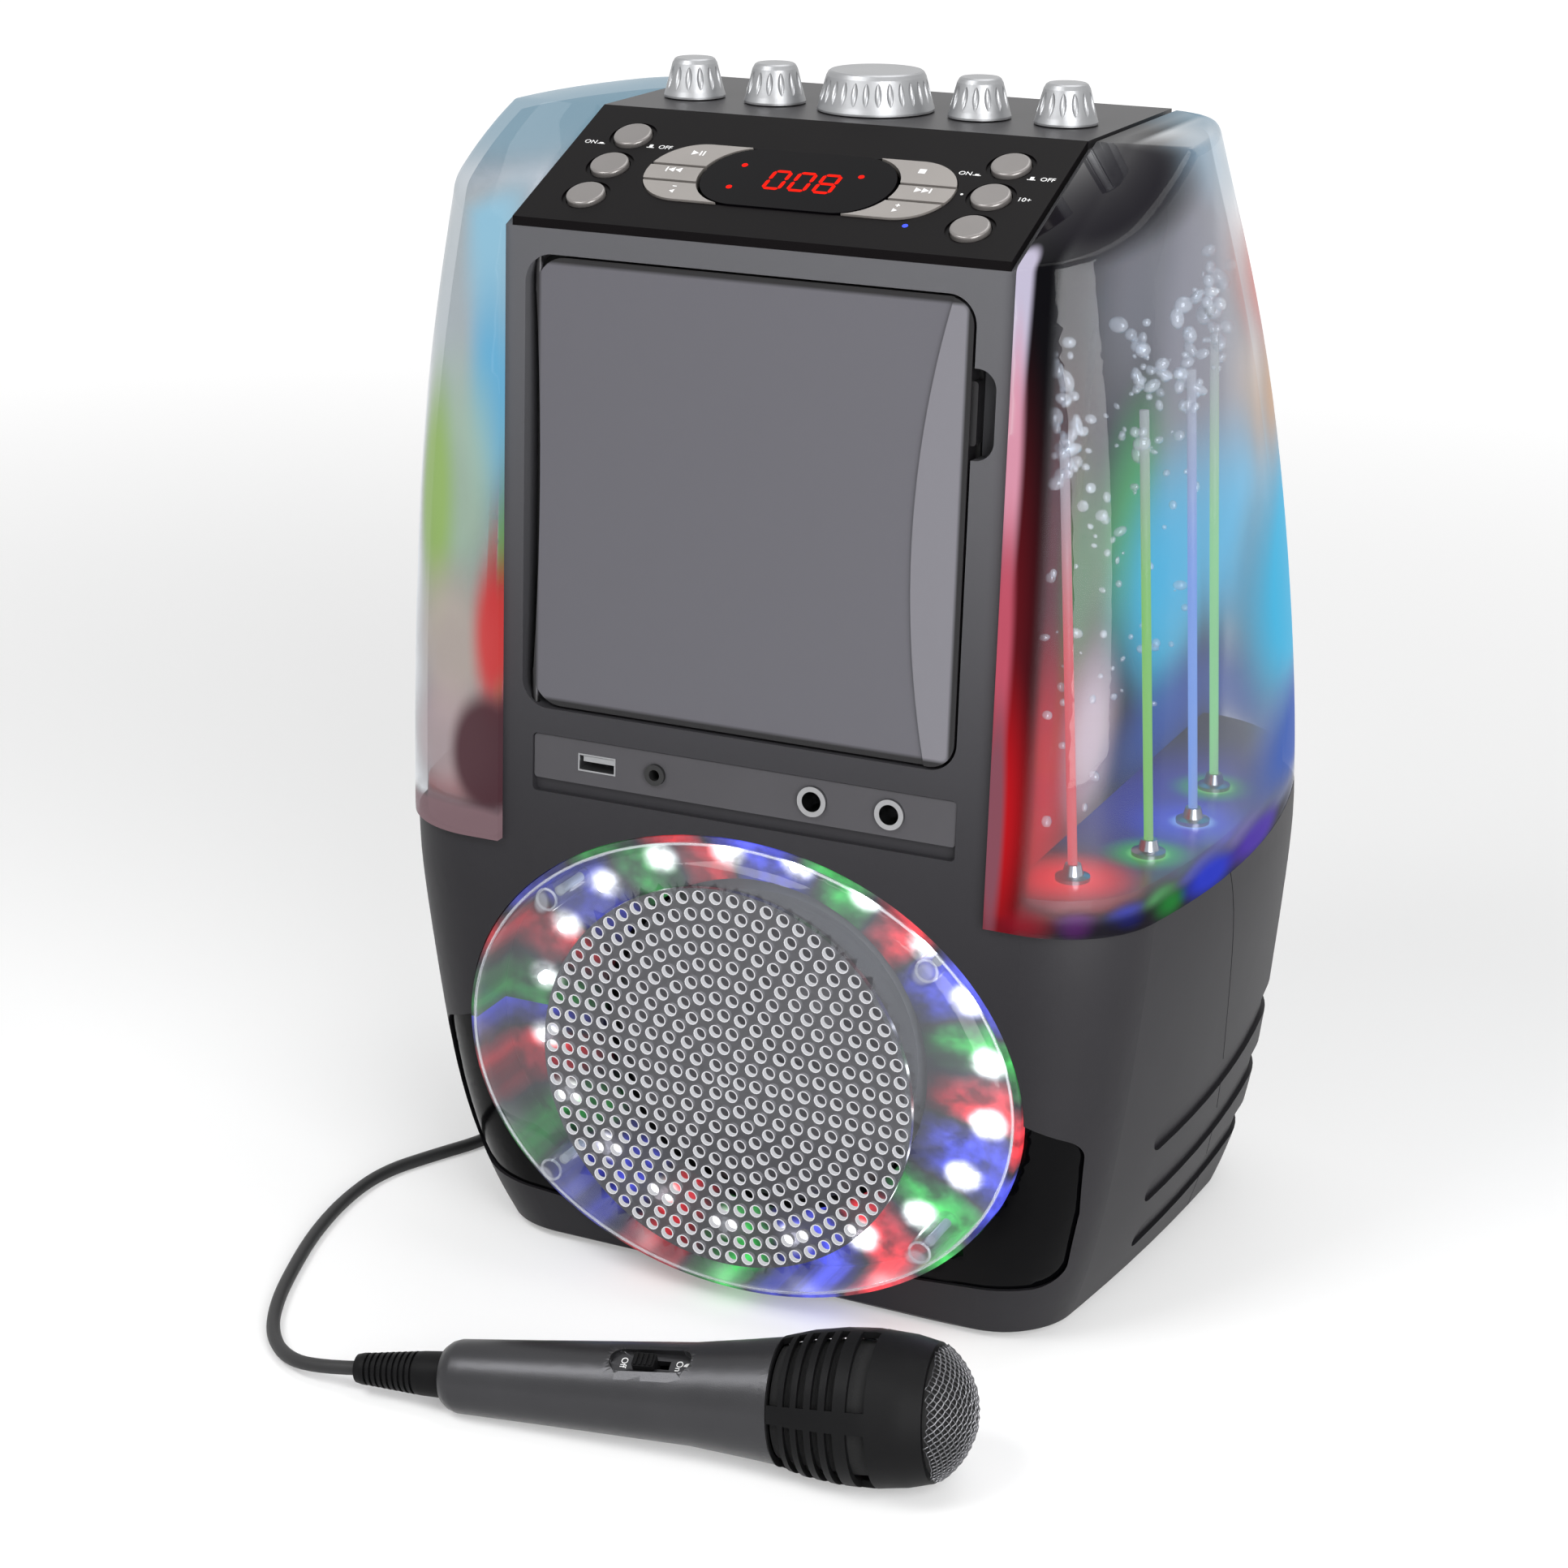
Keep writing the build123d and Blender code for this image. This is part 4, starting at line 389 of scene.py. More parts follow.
# painted highlight: a bright milky finish for the lines that stand for shine on edges
painted_edge_highlight = clear("painted_edge_highlight", "ffffff", 0.24, "f4f6fa", 0.05)
hole_walls = glowing("painted_glow_hole_walls", "e4e5ea", 0.75)
water = clear("water_drops", "f2f6fa", 0.16, "ffffff", ior=1.6)
ink = moulded("white_print", "e6e6e6", 0.5)
digit_red = glowing("red_digits", "ff2418", 1.3)
dot_red = glowing("red_lamp", "ff2018", 1.6)
dot_blue = glowing("blue_lamp", "4a5cff", 1.6)
wire = moulded("plated_wire", "77777a", 0.28, metallic=1.0)
foam = moulded("black_foam", "0d0d0e", 0.9, 0.8, 0.5)
# the drum of the disco lights, with the lamps' light painted on it as glow, and the lamps themselves
disco_floor = disco("disco_drum", 1.55, 0.02, "1c1c24")
disco_lamp = disco("disco_lamps", 4.0, 0.35, "f0f0f0")
# right tank, painted in glow over the clear skin: painted shade for the dark wall beside the tower, painted glow
# for the lit water behind it and the foot, then painted highlight down the front edge
right_clear = clear("right_tank_polystyrene", "f6f8fb", 0.02, "e8eef8", waves=0.02, spots=[
    ((86, 60, 270), (12, 260, 300), "09080d", 1.0, 0.7),
    ((86.5, 4, 232), (14, 84, 110), "64101a", 1.0, 0.1),
    ((86.5, 6, 184), (14, 66, 62), "c8121c", 1.0, 0.2),
    ((86.5, 46, 244), (14, 26, 52), "2a6a26", 0.9, 0.1),
    ((86.5, 88, 325), (14, 60, 60), "77777f", 0.8, 0.1),
    ((86.5, 100, 248), (14, 56, 56), "45a058", 0.95, 0.2),
    ((86.5, 135, 220), (14, 50, 56), "2fb4d4", 1.0, 0.2),
    ((86.5, 62, 188), (14, 36, 40), "d0b8c4", 0.85, 0.1),
    ((105, 150, 290), (60, 60, 130), "9a98a4", 0.7, 0.4),
    ((124, 138, 328), (30, 70, 36), "d2604e", 0.85, 0.2),
    ((124, 145, 286), (30, 70, 34), "caa27e", 0.85, 0.2),
    ((118, 140, 226), (60, 95, 62), "28b4e2", 0.97, 0.4),
    ((118, 140, 172), (60, 95, 30), "0f50b0", 0.97, 0.3),
    ((112, 140, 368), (50, 70, 30), "8fb8d0", 0.75, 0.3),
    # painted shade: a dark patch on the lid
    ((98, 34, 364), (22, 62, 22), "17141d", 0.92, 0.5),
    # painted shadow: a thin dark line along the foot
    ((112, 60, 152), (60, 110, 7), "120c1a", 0.9, 0.6),
    # the foot in painted lamp glow, red at the front to blue and purple behind
    ((96, -12, 153), (13, 12, 8), "a01024", 0.9, 0.2),
    ((109, -6, 153), (9, 12, 7), "7a1a90", 0.9, 0.2),
    ((119, 5, 154), (9, 12, 7), "2030c0", 0.9, 0.2),
    ((127, 20, 154), (9, 14, 7), "1c8a34", 0.9, 0.2),
    ((134, 45, 155), (9, 26, 8), "2436c8", 0.9, 0.3),
    ((137, 85, 155), (9, 36, 8), "4a2aa8", 0.9, 0.3),
    # painted highlight and glow down the front edge, pale lilac at the top to dusky rose below
    ((85.5, -7, 352), (4.5, 12, 66), "cdc6de", 0.95, 0.5),
    ((85.5, -10, 292), (4.5, 12, 52), "e09ab0", 0.95, 0.3),
    ((85.5, -13, 238), (4.5, 12, 52), "c4566a", 0.95, 0.3),
    ((85.5, -16, 182), (4.5, 12, 52), "84505e", 0.95, 0.4),
])
# left tank, seen through its front, painted in glow for the lit water: sky blue by the tower, green outside, red
# and dusky rose below
left_clear = clear("left_tank_polystyrene", "f6f8fb", 0.03, "e8eef8", waves=0.02, spots=[
    ((-100, 60, 372), (60, 160, 26), "9fc6da", 0.6, 0.3),
    ((-100, -14, 330), (60, 40, 70), "b9c3c8", 0.75, 0.4),
    ((-88, -18, 350), (16, 40, 60), "8fc4de", 0.85, 0.3),
    ((-87, -18, 292), (13, 40, 50), "62aed6", 0.9, 0.3),
    ((-100, -14, 265), (22, 40, 55), "a9c2ae", 0.8, 0.3),
    ((-110, -6, 258), (13, 40, 55), "93b45e", 0.85, 0.3),
    ((-102, -14, 212), (26, 40, 36), "bdb0a8", 0.8, 0.3),
    ((-86, -18, 218), (10, 40, 36), "cc3a3c", 0.9, 0.3),
    ((-104, -14, 180), (30, 40, 28), "b9a6a8", 0.75, 0.3),
    ((-88, -18, 178), (16, 40, 24), "4e3138", 0.95, 0.6),
    ((-100, -14, 154), (40, 40, 8), "83696f", 0.9, 0.6),
])
# fountain floors: black, with a painted pool of light under each jet
lit_floor = lit("lit_black_floor", "0b0b0e", 0.25, [
    ((112, 85, 161), (60, 75, 12), "1a1f86", 1.0, 0.2),
    ((96, 0, 161), (36, 40, 12), "6c080c", 1.0, 0.2),
    ((102.6, 7.1, 161), (26, 26, 12), "e8101a", 1.0, 0.1),
    ((116.2, 37.7, 161), (17, 17, 12), "1fa028", 1.0, 0.1),
    ((116.2, 37.7, 161), (8, 8, 12), "9dfb90", 1.0, 0.1),
    ((119.4, 71.1, 161), (26, 26, 12), "2c34c4", 1.0, 0.1),
    ((119.4, 71.1, 161), (9, 9, 12), "a8dcff", 1.0, 0.1),
    ((115.2, 105.2, 161), (17, 17, 12), "1f9c30", 1.0, 0.1),
    ((115.2, 105.2, 161), (8, 8, 12), "a4f49a", 1.0, 0.1),
])
# the screws in the clear pillars, with the lamps' light painted on them as glow
lit_screws = lit("lit_screws", "a4a8b2", 0.3, [((66, 0, 85), (40, 60, 80), "6a7080", 1.0, 0.9)])
# thin columns of water, with each lamp's colour and a pale glow painted up them
lit_jets = clear("lit_jets", "f0f4fa", 0.25, "ffffff", ior=1.4, mirrored=True, spots=[
    ((100, 60, 240), (80, 200, 130), "d8d6de", 0.45, 0.5),
    ((99, 7.1, 190), (12, 14, 120), "e8303a", 0.85, 0.3),
    ((112, 37.7, 200), (12, 14, 120), "74c83e", 0.85, 0.3),
    ((115, 71.1, 200), (12, 14, 120), "5f98f0", 0.85, 0.3),
    ((111, 105.2, 200), (12, 14, 120), "7fd884", 0.85, 0.3),
])


def door_finish():
    """Satin grey lacquer on ABS; the raised grip band is a tone lighter, and a band of painted shade runs round
    the plate's edge.
    """
    m, tree = new_finish("satin_grey_lacquer")
    place = add(tree, "TexCoord").outputs["Object"]
    axes = add(tree, "SeparateXYZ", {"Vector": place}).outputs
    lean = add(tree, "Math", {0: axes["Z"], 1: tan(LEAN), 2: (panel_y(0) - SETBACK) * MM},
               operation="MULTIPLY_ADD")
    proud = add(tree, "Math", {0: lean.outputs[0], 1: axes["Y"]}, operation="SUBTRACT")
    band = add(tree, "MapRange", {"Value": proud.outputs[0], "From Min": -1.2 * MM, "From Max": -0.6 * MM})
    tint = add(tree, "Mix", {"Factor": band.outputs["Result"], "A": hexa("55545a"), "B": hexa("6c6b71")},
               data_type="RGBA")
    # the plate's edge darkens all round: painted shade, a dark band laid along the edge
    wide = add(tree, "Math", {0: axes["X"], 1: DOOR_MID_X * MM}, operation="SUBTRACT")
    wide = add(tree, "Math", {0: wide.outputs[0]}, operation="ABSOLUTE")
    wide = add(tree, "Math", {0: wide.outputs[0], 1: DOOR_HALF_W * MM}, operation="SUBTRACT")
    tall = add(tree, "Math", {0: axes["Z"], 1: DOOR_Z * MM}, operation="SUBTRACT")
    tall = add(tree, "Math", {0: tall.outputs[0]}, operation="ABSOLUTE")
    tall = add(tree, "Math", {0: tall.outputs[0], 1: DOOR_HALF_H * MM}, operation="SUBTRACT")
    edge = add(tree, "Math", {0: wide.outputs[0], 1: tall.outputs[0], 2: 3 * MM}, operation="SMOOTH_MAX")
    dark = add(tree, "MapRange", {"Value": edge.outputs[0], "From Min": -2.6 * MM, "From Max": -1.4 * MM})
    tint = add(tree, "Mix", {"Factor": dark.outputs["Result"], "A": tint.outputs["Result"],
                             "B": hexa("141315")}, data_type="RGBA")
    grain = add(tree, "TexNoise", {"Vector": place, "Scale": 1 / (0.5 * MM), "Detail": 2.0})
    relief = add(tree, "Bump", {"Height": grain.outputs["Fac"], "Strength": 0.05, "Distance": 0.0002})
    shader = add(tree, "BsdfPrincipled", {"Base Color": tint.outputs["Result"], "Roughness": 0.38,
                                          "Metallic": 0.25, "Normal": relief.outputs["Normal"]})
    add(tree, "OutputMaterial", {"Surface": shader.outputs["BSDF"]})
    return m


satin_door = door_finish()


# ---------------------------------------------------------------- the cord
CORD_R = 2.25
CORD_COIL_AT = (-52.0, 226.0)
CORD_TURN_R = 29.75
PLUG_OUT, PLUG_BACK, PLUG_Z = 34.4, 8.4, 6.5
CORD_RUN = [
    (-97.0, -116.4, 5.6), (-112.0, -111.0, 3.2), (-125.0, -98.0, CORD_R),
    (-134.5, -80.0, CORD_R), (-142.0, -59.0, CORD_R), (-149.0, -36.0, CORD_R),
    (-153.5, -10.0, CORD_R), (-153.0, 14.0, CORD_R), (-143.5, 34.0, CORD_R),
    (-133.0, 53.0, CORD_R), (-129.0, 76.0, CORD_R), (-130.0, 102.0, CORD_R),
    (-135.0, 130.0, CORD_R), (-136.0, 158.0, CORD_R), (-127.0, 182.0, CORD_R),
    (-105.0, CORD_COIL_AT[1] - CORD_TURN_R, CORD_R),
]
cord_points = [MIC @ Vector((0, 0, -33.0))] + [at(*p) for p in CORD_RUN]


def coil_points():
    """Eleven turns in four layers; each strand steps one cord's width in or out in the last quarter
    of its turn, and climbs a layer where it has reached the edge.  The last half turn comes down
    outside the others to the plug."""
    steps = 16
    pitch, lift = 4.62, 4.55
    grow = 1 / cos(pi / steps)
    points = []
    turn = 0.0
    layer_start = 0.0
    for layer in range(4):
        turns = 2.75
        while turn < layer_start + turns - 1e-6:
            t = turn - layer_start
            step = sum(min(1.0, max(0.0, (t - (n - 0.25)) * 4)) for n in (1, 2))
            inward = step if layer % 2 == 0 else 2 - step
            climb = min(1.0, max(0.0, (t - 2.5) * 4)) if layer < 3 else 0.0
            r = (CORD_TURN_R - pitch * inward) * grow
            angle = -pi / 2 + 2 * pi * turn
            points.append(at(CORD_COIL_AT[0] + r * cos(angle), CORD_COIL_AT[1] + r * sin(angle),
                             CORD_R + 0.1 + lift * (layer + climb)))
            turn += 1 / steps
        layer_start += turns
    for n in range(steps // 2 + 1):
        share = n / (steps // 2)
        out = min(1.0, share / 0.45)
        down = max(0.0, (share - 0.45) / 0.55)
        r = (CORD_TURN_R + (PLUG_OUT - CORD_TURN_R) * out) * grow
        angle = -pi / 2 + pi * share
        z = CORD_R + 0.1 + lift * 3
        points.append(at(CORD_COIL_AT[0] + r * cos(angle), CORD_COIL_AT[1] + r * sin(angle),
                         z + (PLUG_Z - z) * down))
    points[-1] = at(CORD_COIL_AT[0], CORD_COIL_AT[1] + PLUG_OUT, PLUG_Z)
    points.append(at(CORD_COIL_AT[0] - PLUG_BACK, CORD_COIL_AT[1] + PLUG_OUT, PLUG_Z))
    return points


cord_points += coil_points()
curve = bpy.data.curves.new("mic_cord", "CURVE")
curve.dimensions = "3D"
curve.bevel_depth = CORD_R * MM
curve.bevel_resolution = 3
curve.resolution_u = 6
curve.use_fill_caps = True
line = curve.splines.new("NURBS")
line.points.add(len(cord_points) - 1)
for spot, p in zip(line.points, cord_points):
    spot.co = (p.x, p.y, p.z, 1)
line.order_u = 3
line.use_endpoint_u = True
cord_piece = bpy.data.objects.new("mic_cord", curve)
bpy.context.scene.collection.objects.link(cord_piece)
cord_piece.data.materials.append(soft_rubber)
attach(cord_piece, "cabinet")
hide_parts("mic_cable", "mic_cable_coil")

# ---------------------------------------------------------------- plain finishes on the drawn parts
CAD_FINISH = {
    "front_shell": charcoal_abs, "rear_shell": charcoal_abs, "control_panel": panel_ink,
    "top_panel": smooth_abs, "display_window": smoked, "control_board": board_green,
    "left_tank": left_clear, "right_tank": right_clear, "left_fountain_floor": lit_floor,
    "right_fountain_floor": lit_floor, "fountain_nozzles": nickel, "fountain_pumps": dark_bore,
    "fountain_leds": nickel, "speaker_lens": dome_clear, "lens_screws": lit_screws,
    "speaker_reflector": disco_floor, "disco_leds": disco_lamp, "speaker_basket": dark_bore,
    "speaker_magnet": zinc, "speaker_cone": cone_paper, "lower_trim": piano_black,
    "jack_panel": grey_strip, "mic_jacks": nickel, "line_in_jack": dark_bore, "usb_port": zinc,
    "disc_well": dark_bore, "spindle": dark_bore, "laser_sled": dark_bore, "disc_door": satin_door,
    "potentiometers": zinc, "main_board": board_green, "rear_sockets": dark_bore, "case_screws": zinc,
    "feet": soft_rubber, "mic_handle": mic_lacquer, "mic_switch": mic_nylon, "mic_head": mic_nylon,
    "mic_grille": foam, "mic_strain_relief": mic_nylon, "mic_plug": nickel,
}
for node, obj in frame["nodes"].items():
    finish = CAD_FINISH.get(node)
    if finish is None:
        finish = (silver_paint if node.endswith("_knob") else
                  key_grey if node.endswith("_key") else button_grey)
    obj.data.materials.clear()
    obj.data.materials.append(finish)


def smoothed(node, angle=30):
    """A drawn part with its rounded skins shaded smooth."""
    body = frame["nodes"][node]["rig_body"]
    copy = welded(node)
    bpy.ops.object.shade_smooth_by_angle(angle=radians(angle))
    even = copy.modifiers.new("even", "WEIGHTED_NORMAL")
    even.keep_sharp = True
    even.weight = 100
    bpy.ops.object.modifier_apply(modifier="even")
    copy.name = node + "_skin"
    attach(copy, body)
    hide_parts(node)
    return copy


for node in ("left_tank", "right_tank", "lower_trim", "mic_head"):
    smoothed(node)
smoothed("mic_handle", 12)
plug = smoothed("mic_plug")

# ---------------------------------------------------------------- speaker lens
GRILLE_R = 64.6
LENS_RISE = 9.0
rim = smoothed("speaker_lens")
rim.name = "lens_rim"
to_lens = LENS.inverted()
only(rim)
bpy.ops.object.mode_set(mode="EDIT")
bpy.ops.mesh.select_mode(type="FACE")
bpy.ops.mesh.select_all(action="DESELECT")
bpy.ops.object.mode_set(mode="OBJECT")
for face in rim.data.polygons:
    spot = to_lens @ face.center
    face.select = spot.z > LENS_RISE - 2.8 and sqrt(spot.x ** 2 + spot.y ** 2) < GRILLE_R - 0.02
bpy.ops.object.mode_set(mode="EDIT")
bpy.ops.mesh.delete(type="FACE")
bpy.ops.mesh.select_mode(type="VERT")
bpy.ops.object.mode_set(mode="OBJECT")


def outline_curve(name, outlines, thickness):
    """A flat sheet cut to closed outlines, inner ones being holes, as thick as asked."""
    data = bpy.data.curves.new(name, "CURVE")
    data.dimensions = "2D"
    data.fill_mode = "BOTH"
    data.extrude = thickness / 2
    for outline in outlines:
        line = data.splines.new("POLY")
        line.points.add(len(outline) - 1)
        for spot, (x, y) in zip(line.points, outline):
            spot.co = (x, y, 0, 1)
        line.use_cyclic_u = True
    obj = bpy.data.objects.new(name, data)
    bpy.context.scene.collection.objects.link(obj)
    return obj


def ring_of(x, y, r, count):
    return [(x + r * cos(2 * pi * i / count), y + r * sin(2 * pi * i / count)) for i in range(count)]


HOLE_PITCH, HOLE_R = 5.6, 1.85
FIELD_T = 1.8            # thickness of the field
HOLED_R = 63.8           # the walls inside this radius belong to holes
LIP_W, LIP_T = 0.3, 0.12
holes = [ring_of(0, 0, HOLE_R, 14)]
for k in range(1, 12):
    for i in range(6 * k):
        turn = 2 * pi * i / (6 * k)
        holes.append(ring_of(k * HOLE_PITCH * cos(turn), k * HOLE_PITCH * sin(turn), HOLE_R, 14))
field = outline_curve("sound_field", [ring_of(0, 0, GRILLE_R - 0.05, 160)] + holes, FIELD_T)
settle(field, "sound_field", LENS @ Matrix.Translation((0, 0, LENS_RISE - FIELD_T / 2)), sound_field)
field = active()
# painted light: the hole walls take the glowing finish
field.data.materials.append(hole_walls)
for face in field.data.polygons:
    spot = to_lens @ face.center
    wall = abs((to_lens.to_3x3() @ face.normal).normalized().z) < 0.5
    face.material_index = 1 if wall and sqrt(spot.x ** 2 + spot.y ** 2) < HOLED_R else 0

# the moulded lip round each hole, glowing in painted light
lips = []
for spots in holes:
    x, y = sum(p[0] for p in spots) / len(spots), sum(p[1] for p in spots) / len(spots)
    lips += [ring_of(x, y, HOLE_R + 0.02 + LIP_W, 14), ring_of(x, y, HOLE_R + 0.02, 14)]
settle(outline_curve("hole_lips", lips, LIP_T), "hole_lips",
       LENS @ Matrix.Translation((0, 0, LENS_RISE + 0.04)), hole_rims)


def highlight_bead(name, points, plane, thick, material, closed=True):
    """A thin line of painted highlight that runs along points given in a plane's millimetres."""
    data = bpy.data.curves.new(name, "CURVE")
    data.dimensions = "3D"
    data.bevel_depth = thick
    data.bevel_resolution = 2
    line = data.splines.new("POLY")
    line.points.add(len(points) - 1)
    for spot, p in zip(line.points, points):
        spot.co = (*p, 1)
    line.use_cyclic_u = closed
    obj = bpy.data.objects.new(name, data)
    bpy.context.scene.collection.objects.link(obj)
    settle(obj, name, plane, material)
    bpy.ops.object.shade_smooth()


# painted highlights: bright lines along the lens's outer edge and round each clear pillar
LENS_A, LENS_B = 95.5, 76.5
ring_points = [(cos(2 * pi * i / 128), sin(2 * pi * i / 128)) for i in range(128)]
highlight_bead("lens_edge_highlight", [((LENS_A - 0.6) * x, (LENS_B - 0.6) * y, 1.4) for x, y in ring_points], LENS, 0.5,
     painted_edge_highlight)
PILLAR_X, PILLAR_Z, PILLAR_R = 66, 48, 3.5
for n, (side, up) in enumerate(((-1, 1), (1, 1), (-1, -1), (1, -1))):
    x, z = side * PILLAR_X, up * PILLAR_Z
    highlight_bead("lens_pillar_highlight_%d" % n, [(x + PILLAR_R * a, z + PILLAR_R * b, 3.4) for a, b in ring_points[::4]], LENS,
         0.5, painted_edge_highlight)

# ---------------------------------------------------------------- water
JET_PLACES = ((102.6, 7.1), (116.2, 37.7), (119.4, 71.1), (115.2, 105.2))
JET_TOPS = (296.0, 300.0, 306.0, 312.0)
random.seed(11)


def drop(x, y, z, size):
    bpy.ops.mesh.primitive_ico_sphere_add(subdivisions=2, radius=size * MM, location=at(x, y, z),
                                          rotation=[random.uniform(0, pi) for _ in range(3)])
    ball = active()
    ball.scale = (1, random.uniform(0.6, 1.0), random.uniform(0.7, 1.5))
    return ball


for side, word in ((-1, "left"), (1, "right")):
    jets, drops = [], []
    for (x, y), top in zip(JET_PLACES, JET_TOPS):
        foot, head = Vector((x, y, 163.0)), Vector((x - 8.0, y, top))
        middle, rise = (foot + head) / 2, head - foot
        bpy.ops.mesh.primitive_cylinder_add(vertices=12, radius=1.5 * MM, depth=rise.length * MM,
                                            location=at(side * middle.x, middle.y, middle.z),
                                            rotation=(0, side * atan2(rise.x, rise.z), 0))
        jets.append(active())
        for _ in range(28):
            up = random.random()
            spread = 2.0 + 5.5 * up
            drops.append(drop(side * (head.x + random.uniform(-spread, spread)),
                              y + random.uniform(-spread, spread), top - 14 + 42 * up,
                              random.uniform(0.8, 2.9)))
    for _ in range(80):
        z = 170 + 130 * random.random() ** 0.7
        drops.append(drop(side * random.uniform(90, 106), random.uniform(0, 112), z,
                          random.uniform(0.5, 2.0)))
    settle(join(jets), word + "_jets", None, lit_jets)
    bpy.ops.object.shade_smooth()
    settle(join(drops), word + "_drops", None, water)
    bpy.ops.object.shade_smooth()

# ---------------------------------------------------------------- printed marks and lamps
PRINT = 0.05


def flat(name, outlines, plane, x, s, lift, material, body="cabinet"):
    obj = outline_curve(name, outlines, PRINT)
    settle(obj, name, plane @ Matrix.Translation((x, s, lift + PRINT)), material, body)


def word(name, text, size, plane, x, s, lift, turn=0.0):
    bpy.ops.object.text_add()
    obj = active()
    obj.data.body = text
    obj.data.size = size
    obj.data.align_x = "CENTER"
    obj.data.align_y = "CENTER"
    obj.data.extrude = PRINT / 2
    settle(obj, name, plane @ Matrix.Translation((x, s, lift + PRINT)) @ Matrix.Rotation(turn, 4, "Z"), ink)


def arrow(x, way, half=1.25, length=2.2):
    return [(x - way * length / 2, -half), (x + way * length / 2, 0), (x - way * length / 2, half)]


def bar(x, width=0.5, half=1.25, y=0.0):
    return [(x - width / 2, y - half), (x + width / 2, y - half), (x + width / 2, y + half),
            (x - width / 2, y + half)]


KEY_TOP = 0.6
flat("play_mark", [arrow(-1.3, 1), bar(0.5), bar(1.6)], SLOPED, -36.4, 41.0, KEY_TOP, ink, "play_key_body")
flat("previous_mark", [bar(-2.7), arrow(-1.2, -1), arrow(1.2, -1)], SLOPED, -40.2, 31.0, KEY_TOP, ink,
     "previous_key_body")
flat("key_down_mark", [arrow(0, -1, 0.9, 1.6), bar(0, 1.5, 0.2, 2.6)], SLOPED, -36.2, 19.6, KEY_TOP, ink,
     "key_down_key_body")
flat("stop_mark", [bar(0, 2.3, 1.15)], SLOPED, 37.6, 41.0, KEY_TOP, ink, "stop_key_body")
flat("next_mark", [arrow(-1.2, 1), arrow(1.2, 1), bar(2.7)], SLOPED, 41.4, 31.0, KEY_TOP, ink,
     "next_key_body")
cross = [(-0.75, 2.4), (-0.2, 2.4), (-0.2, 1.85), (0.2, 1.85), (0.2, 2.4), (0.75, 2.4), (0.75, 2.8),
         (0.2, 2.8), (0.2, 3.35), (-0.2, 3.35), (-0.2, 2.8), (-0.75, 2.8)]
flat("key_up_mark", [arrow(0, 1, 0.9, 1.6), cross], SLOPED, 37.2, 19.6, KEY_TOP, ink, "key_up_key_body")
# latching switches: out is off and in is on
for n, (x, s) in enumerate(((-63.0, 43.4), (63.0, 42.7))):
    word("on_word_%d" % n, "ON", 2.7, SLOPED, x - 12.4, s, 0)
    word("off_word_%d" % n, "OFF", 2.7, SLOPED, x + 13.6, s, 0)
    flat("pressed_mark_%d" % n, [bar(0, 2.6, 0.15), bar(0, 1.3, 0.3, 0.45)], SLOPED, x - 8.6, s - 0.6, 0, ink)
    flat("raised_mark_%d" % n, [bar(0, 2.6, 0.15), bar(0, 1.2, 0.7, 0.85)], SLOPED, x + 8.6, s - 0.6, 0, ink)
word("ten_plus_word", "10+", 2.8, SLOPED, 73.4, 31.4, 0)
flat("white_dot", [ring_of(0, 0, 0.45, 16)], SLOPED, 53.7, 31.6, 0, ink)
flat("link_lamp", [ring_of(0, 0, 0.9, 24)], SLOPED, 43.1, 13.0, 0, dot_blue)
for n, (x, s) in enumerate(((-19.1, 36.7), (-19.0, 24.5), (20.0, 35.5))):
    flat("display_dot_%d" % n, [ring_of(0, 0, 0.95, 24)], SLOPED, x, s, 0.5, dot_red)


def segments(digit, x, width=5.2, height=9.4, thick=1.2, lean=0.06):
    """The lit bars of a seven-segment figure, each with pointed ends."""
    lit_bars = {"0": "abcdef", "8": "abcdefg"}[digit]
    half, gap = height / 2, 0.18
    ends = {"a": ((0, height), (width, height)), "b": ((width, height), (width, half)),
            "c": ((width, half), (width, 0)), "d": ((0, 0), (width, 0)), "e": ((0, half), (0, 0)),
            "f": ((0, height), (0, half)), "g": ((0, half), (width, half))}
    shapes = []
    for letter in lit_bars:
        (x0, y0), (x1, y1) = ends[letter]
        a, b = Vector((x0, y0)), Vector((x1, y1))
        along = (b - a).normalized()
        beside = Vector((-along.y, along.x)) * thick / 2
        a, b = a + along * gap, b - along * gap
        bend = along * thick / 2
        points = [a, a + bend + beside, b - bend + beside, b, b - bend - beside, a + bend - beside]
        shapes.append([(x + p.x - width / 2 + lean * (p.y - half), p.y - half) for p in points])
    return shapes


flat("display_digits", segments("0", -5.4) + segments("0", 2.8) + segments("8", 11.0), SLOPED, 0.0, 30.2,
     0.5, digit_red)

# ---------------------------------------------------------------- microphone
DOME_R, DOME_AT, DOME_RIM = 24.25, 139.6, 20.4
bpy.ops.mesh.primitive_grid_add(x_subdivisions=31, y_subdivisions=31, size=56)
net = active()
for spot in net.data.vertices:
    flat_r = min(DOME_R * 1.5, sqrt(spot.co.x ** 2 + spot.co.y ** 2))
    tilt = flat_r / DOME_R
    weave = 0.22 * (1 if (round(spot.co.x / 1.8) + round(spot.co.y / 1.8)) % 2 else -1)
    if flat_r > 0:
        spot.co.xy *= DOME_R * sin(tilt) / flat_r
    spot.co.z = (DOME_R + weave) * cos(tilt)
    spot.select = False
bpy.ops.object.mode_set(mode="EDIT")
bpy.ops.mesh.select_all(action="DESELECT")
bpy.ops.object.mode_set(mode="OBJECT")
for spot in net.data.vertices:
    spot.select = sqrt(spot.co.x ** 2 + spot.co.y ** 2) > DOME_RIM or spot.co.z < 10
bpy.ops.object.mode_set(mode="EDIT")
bpy.ops.mesh.delete(type="VERT")
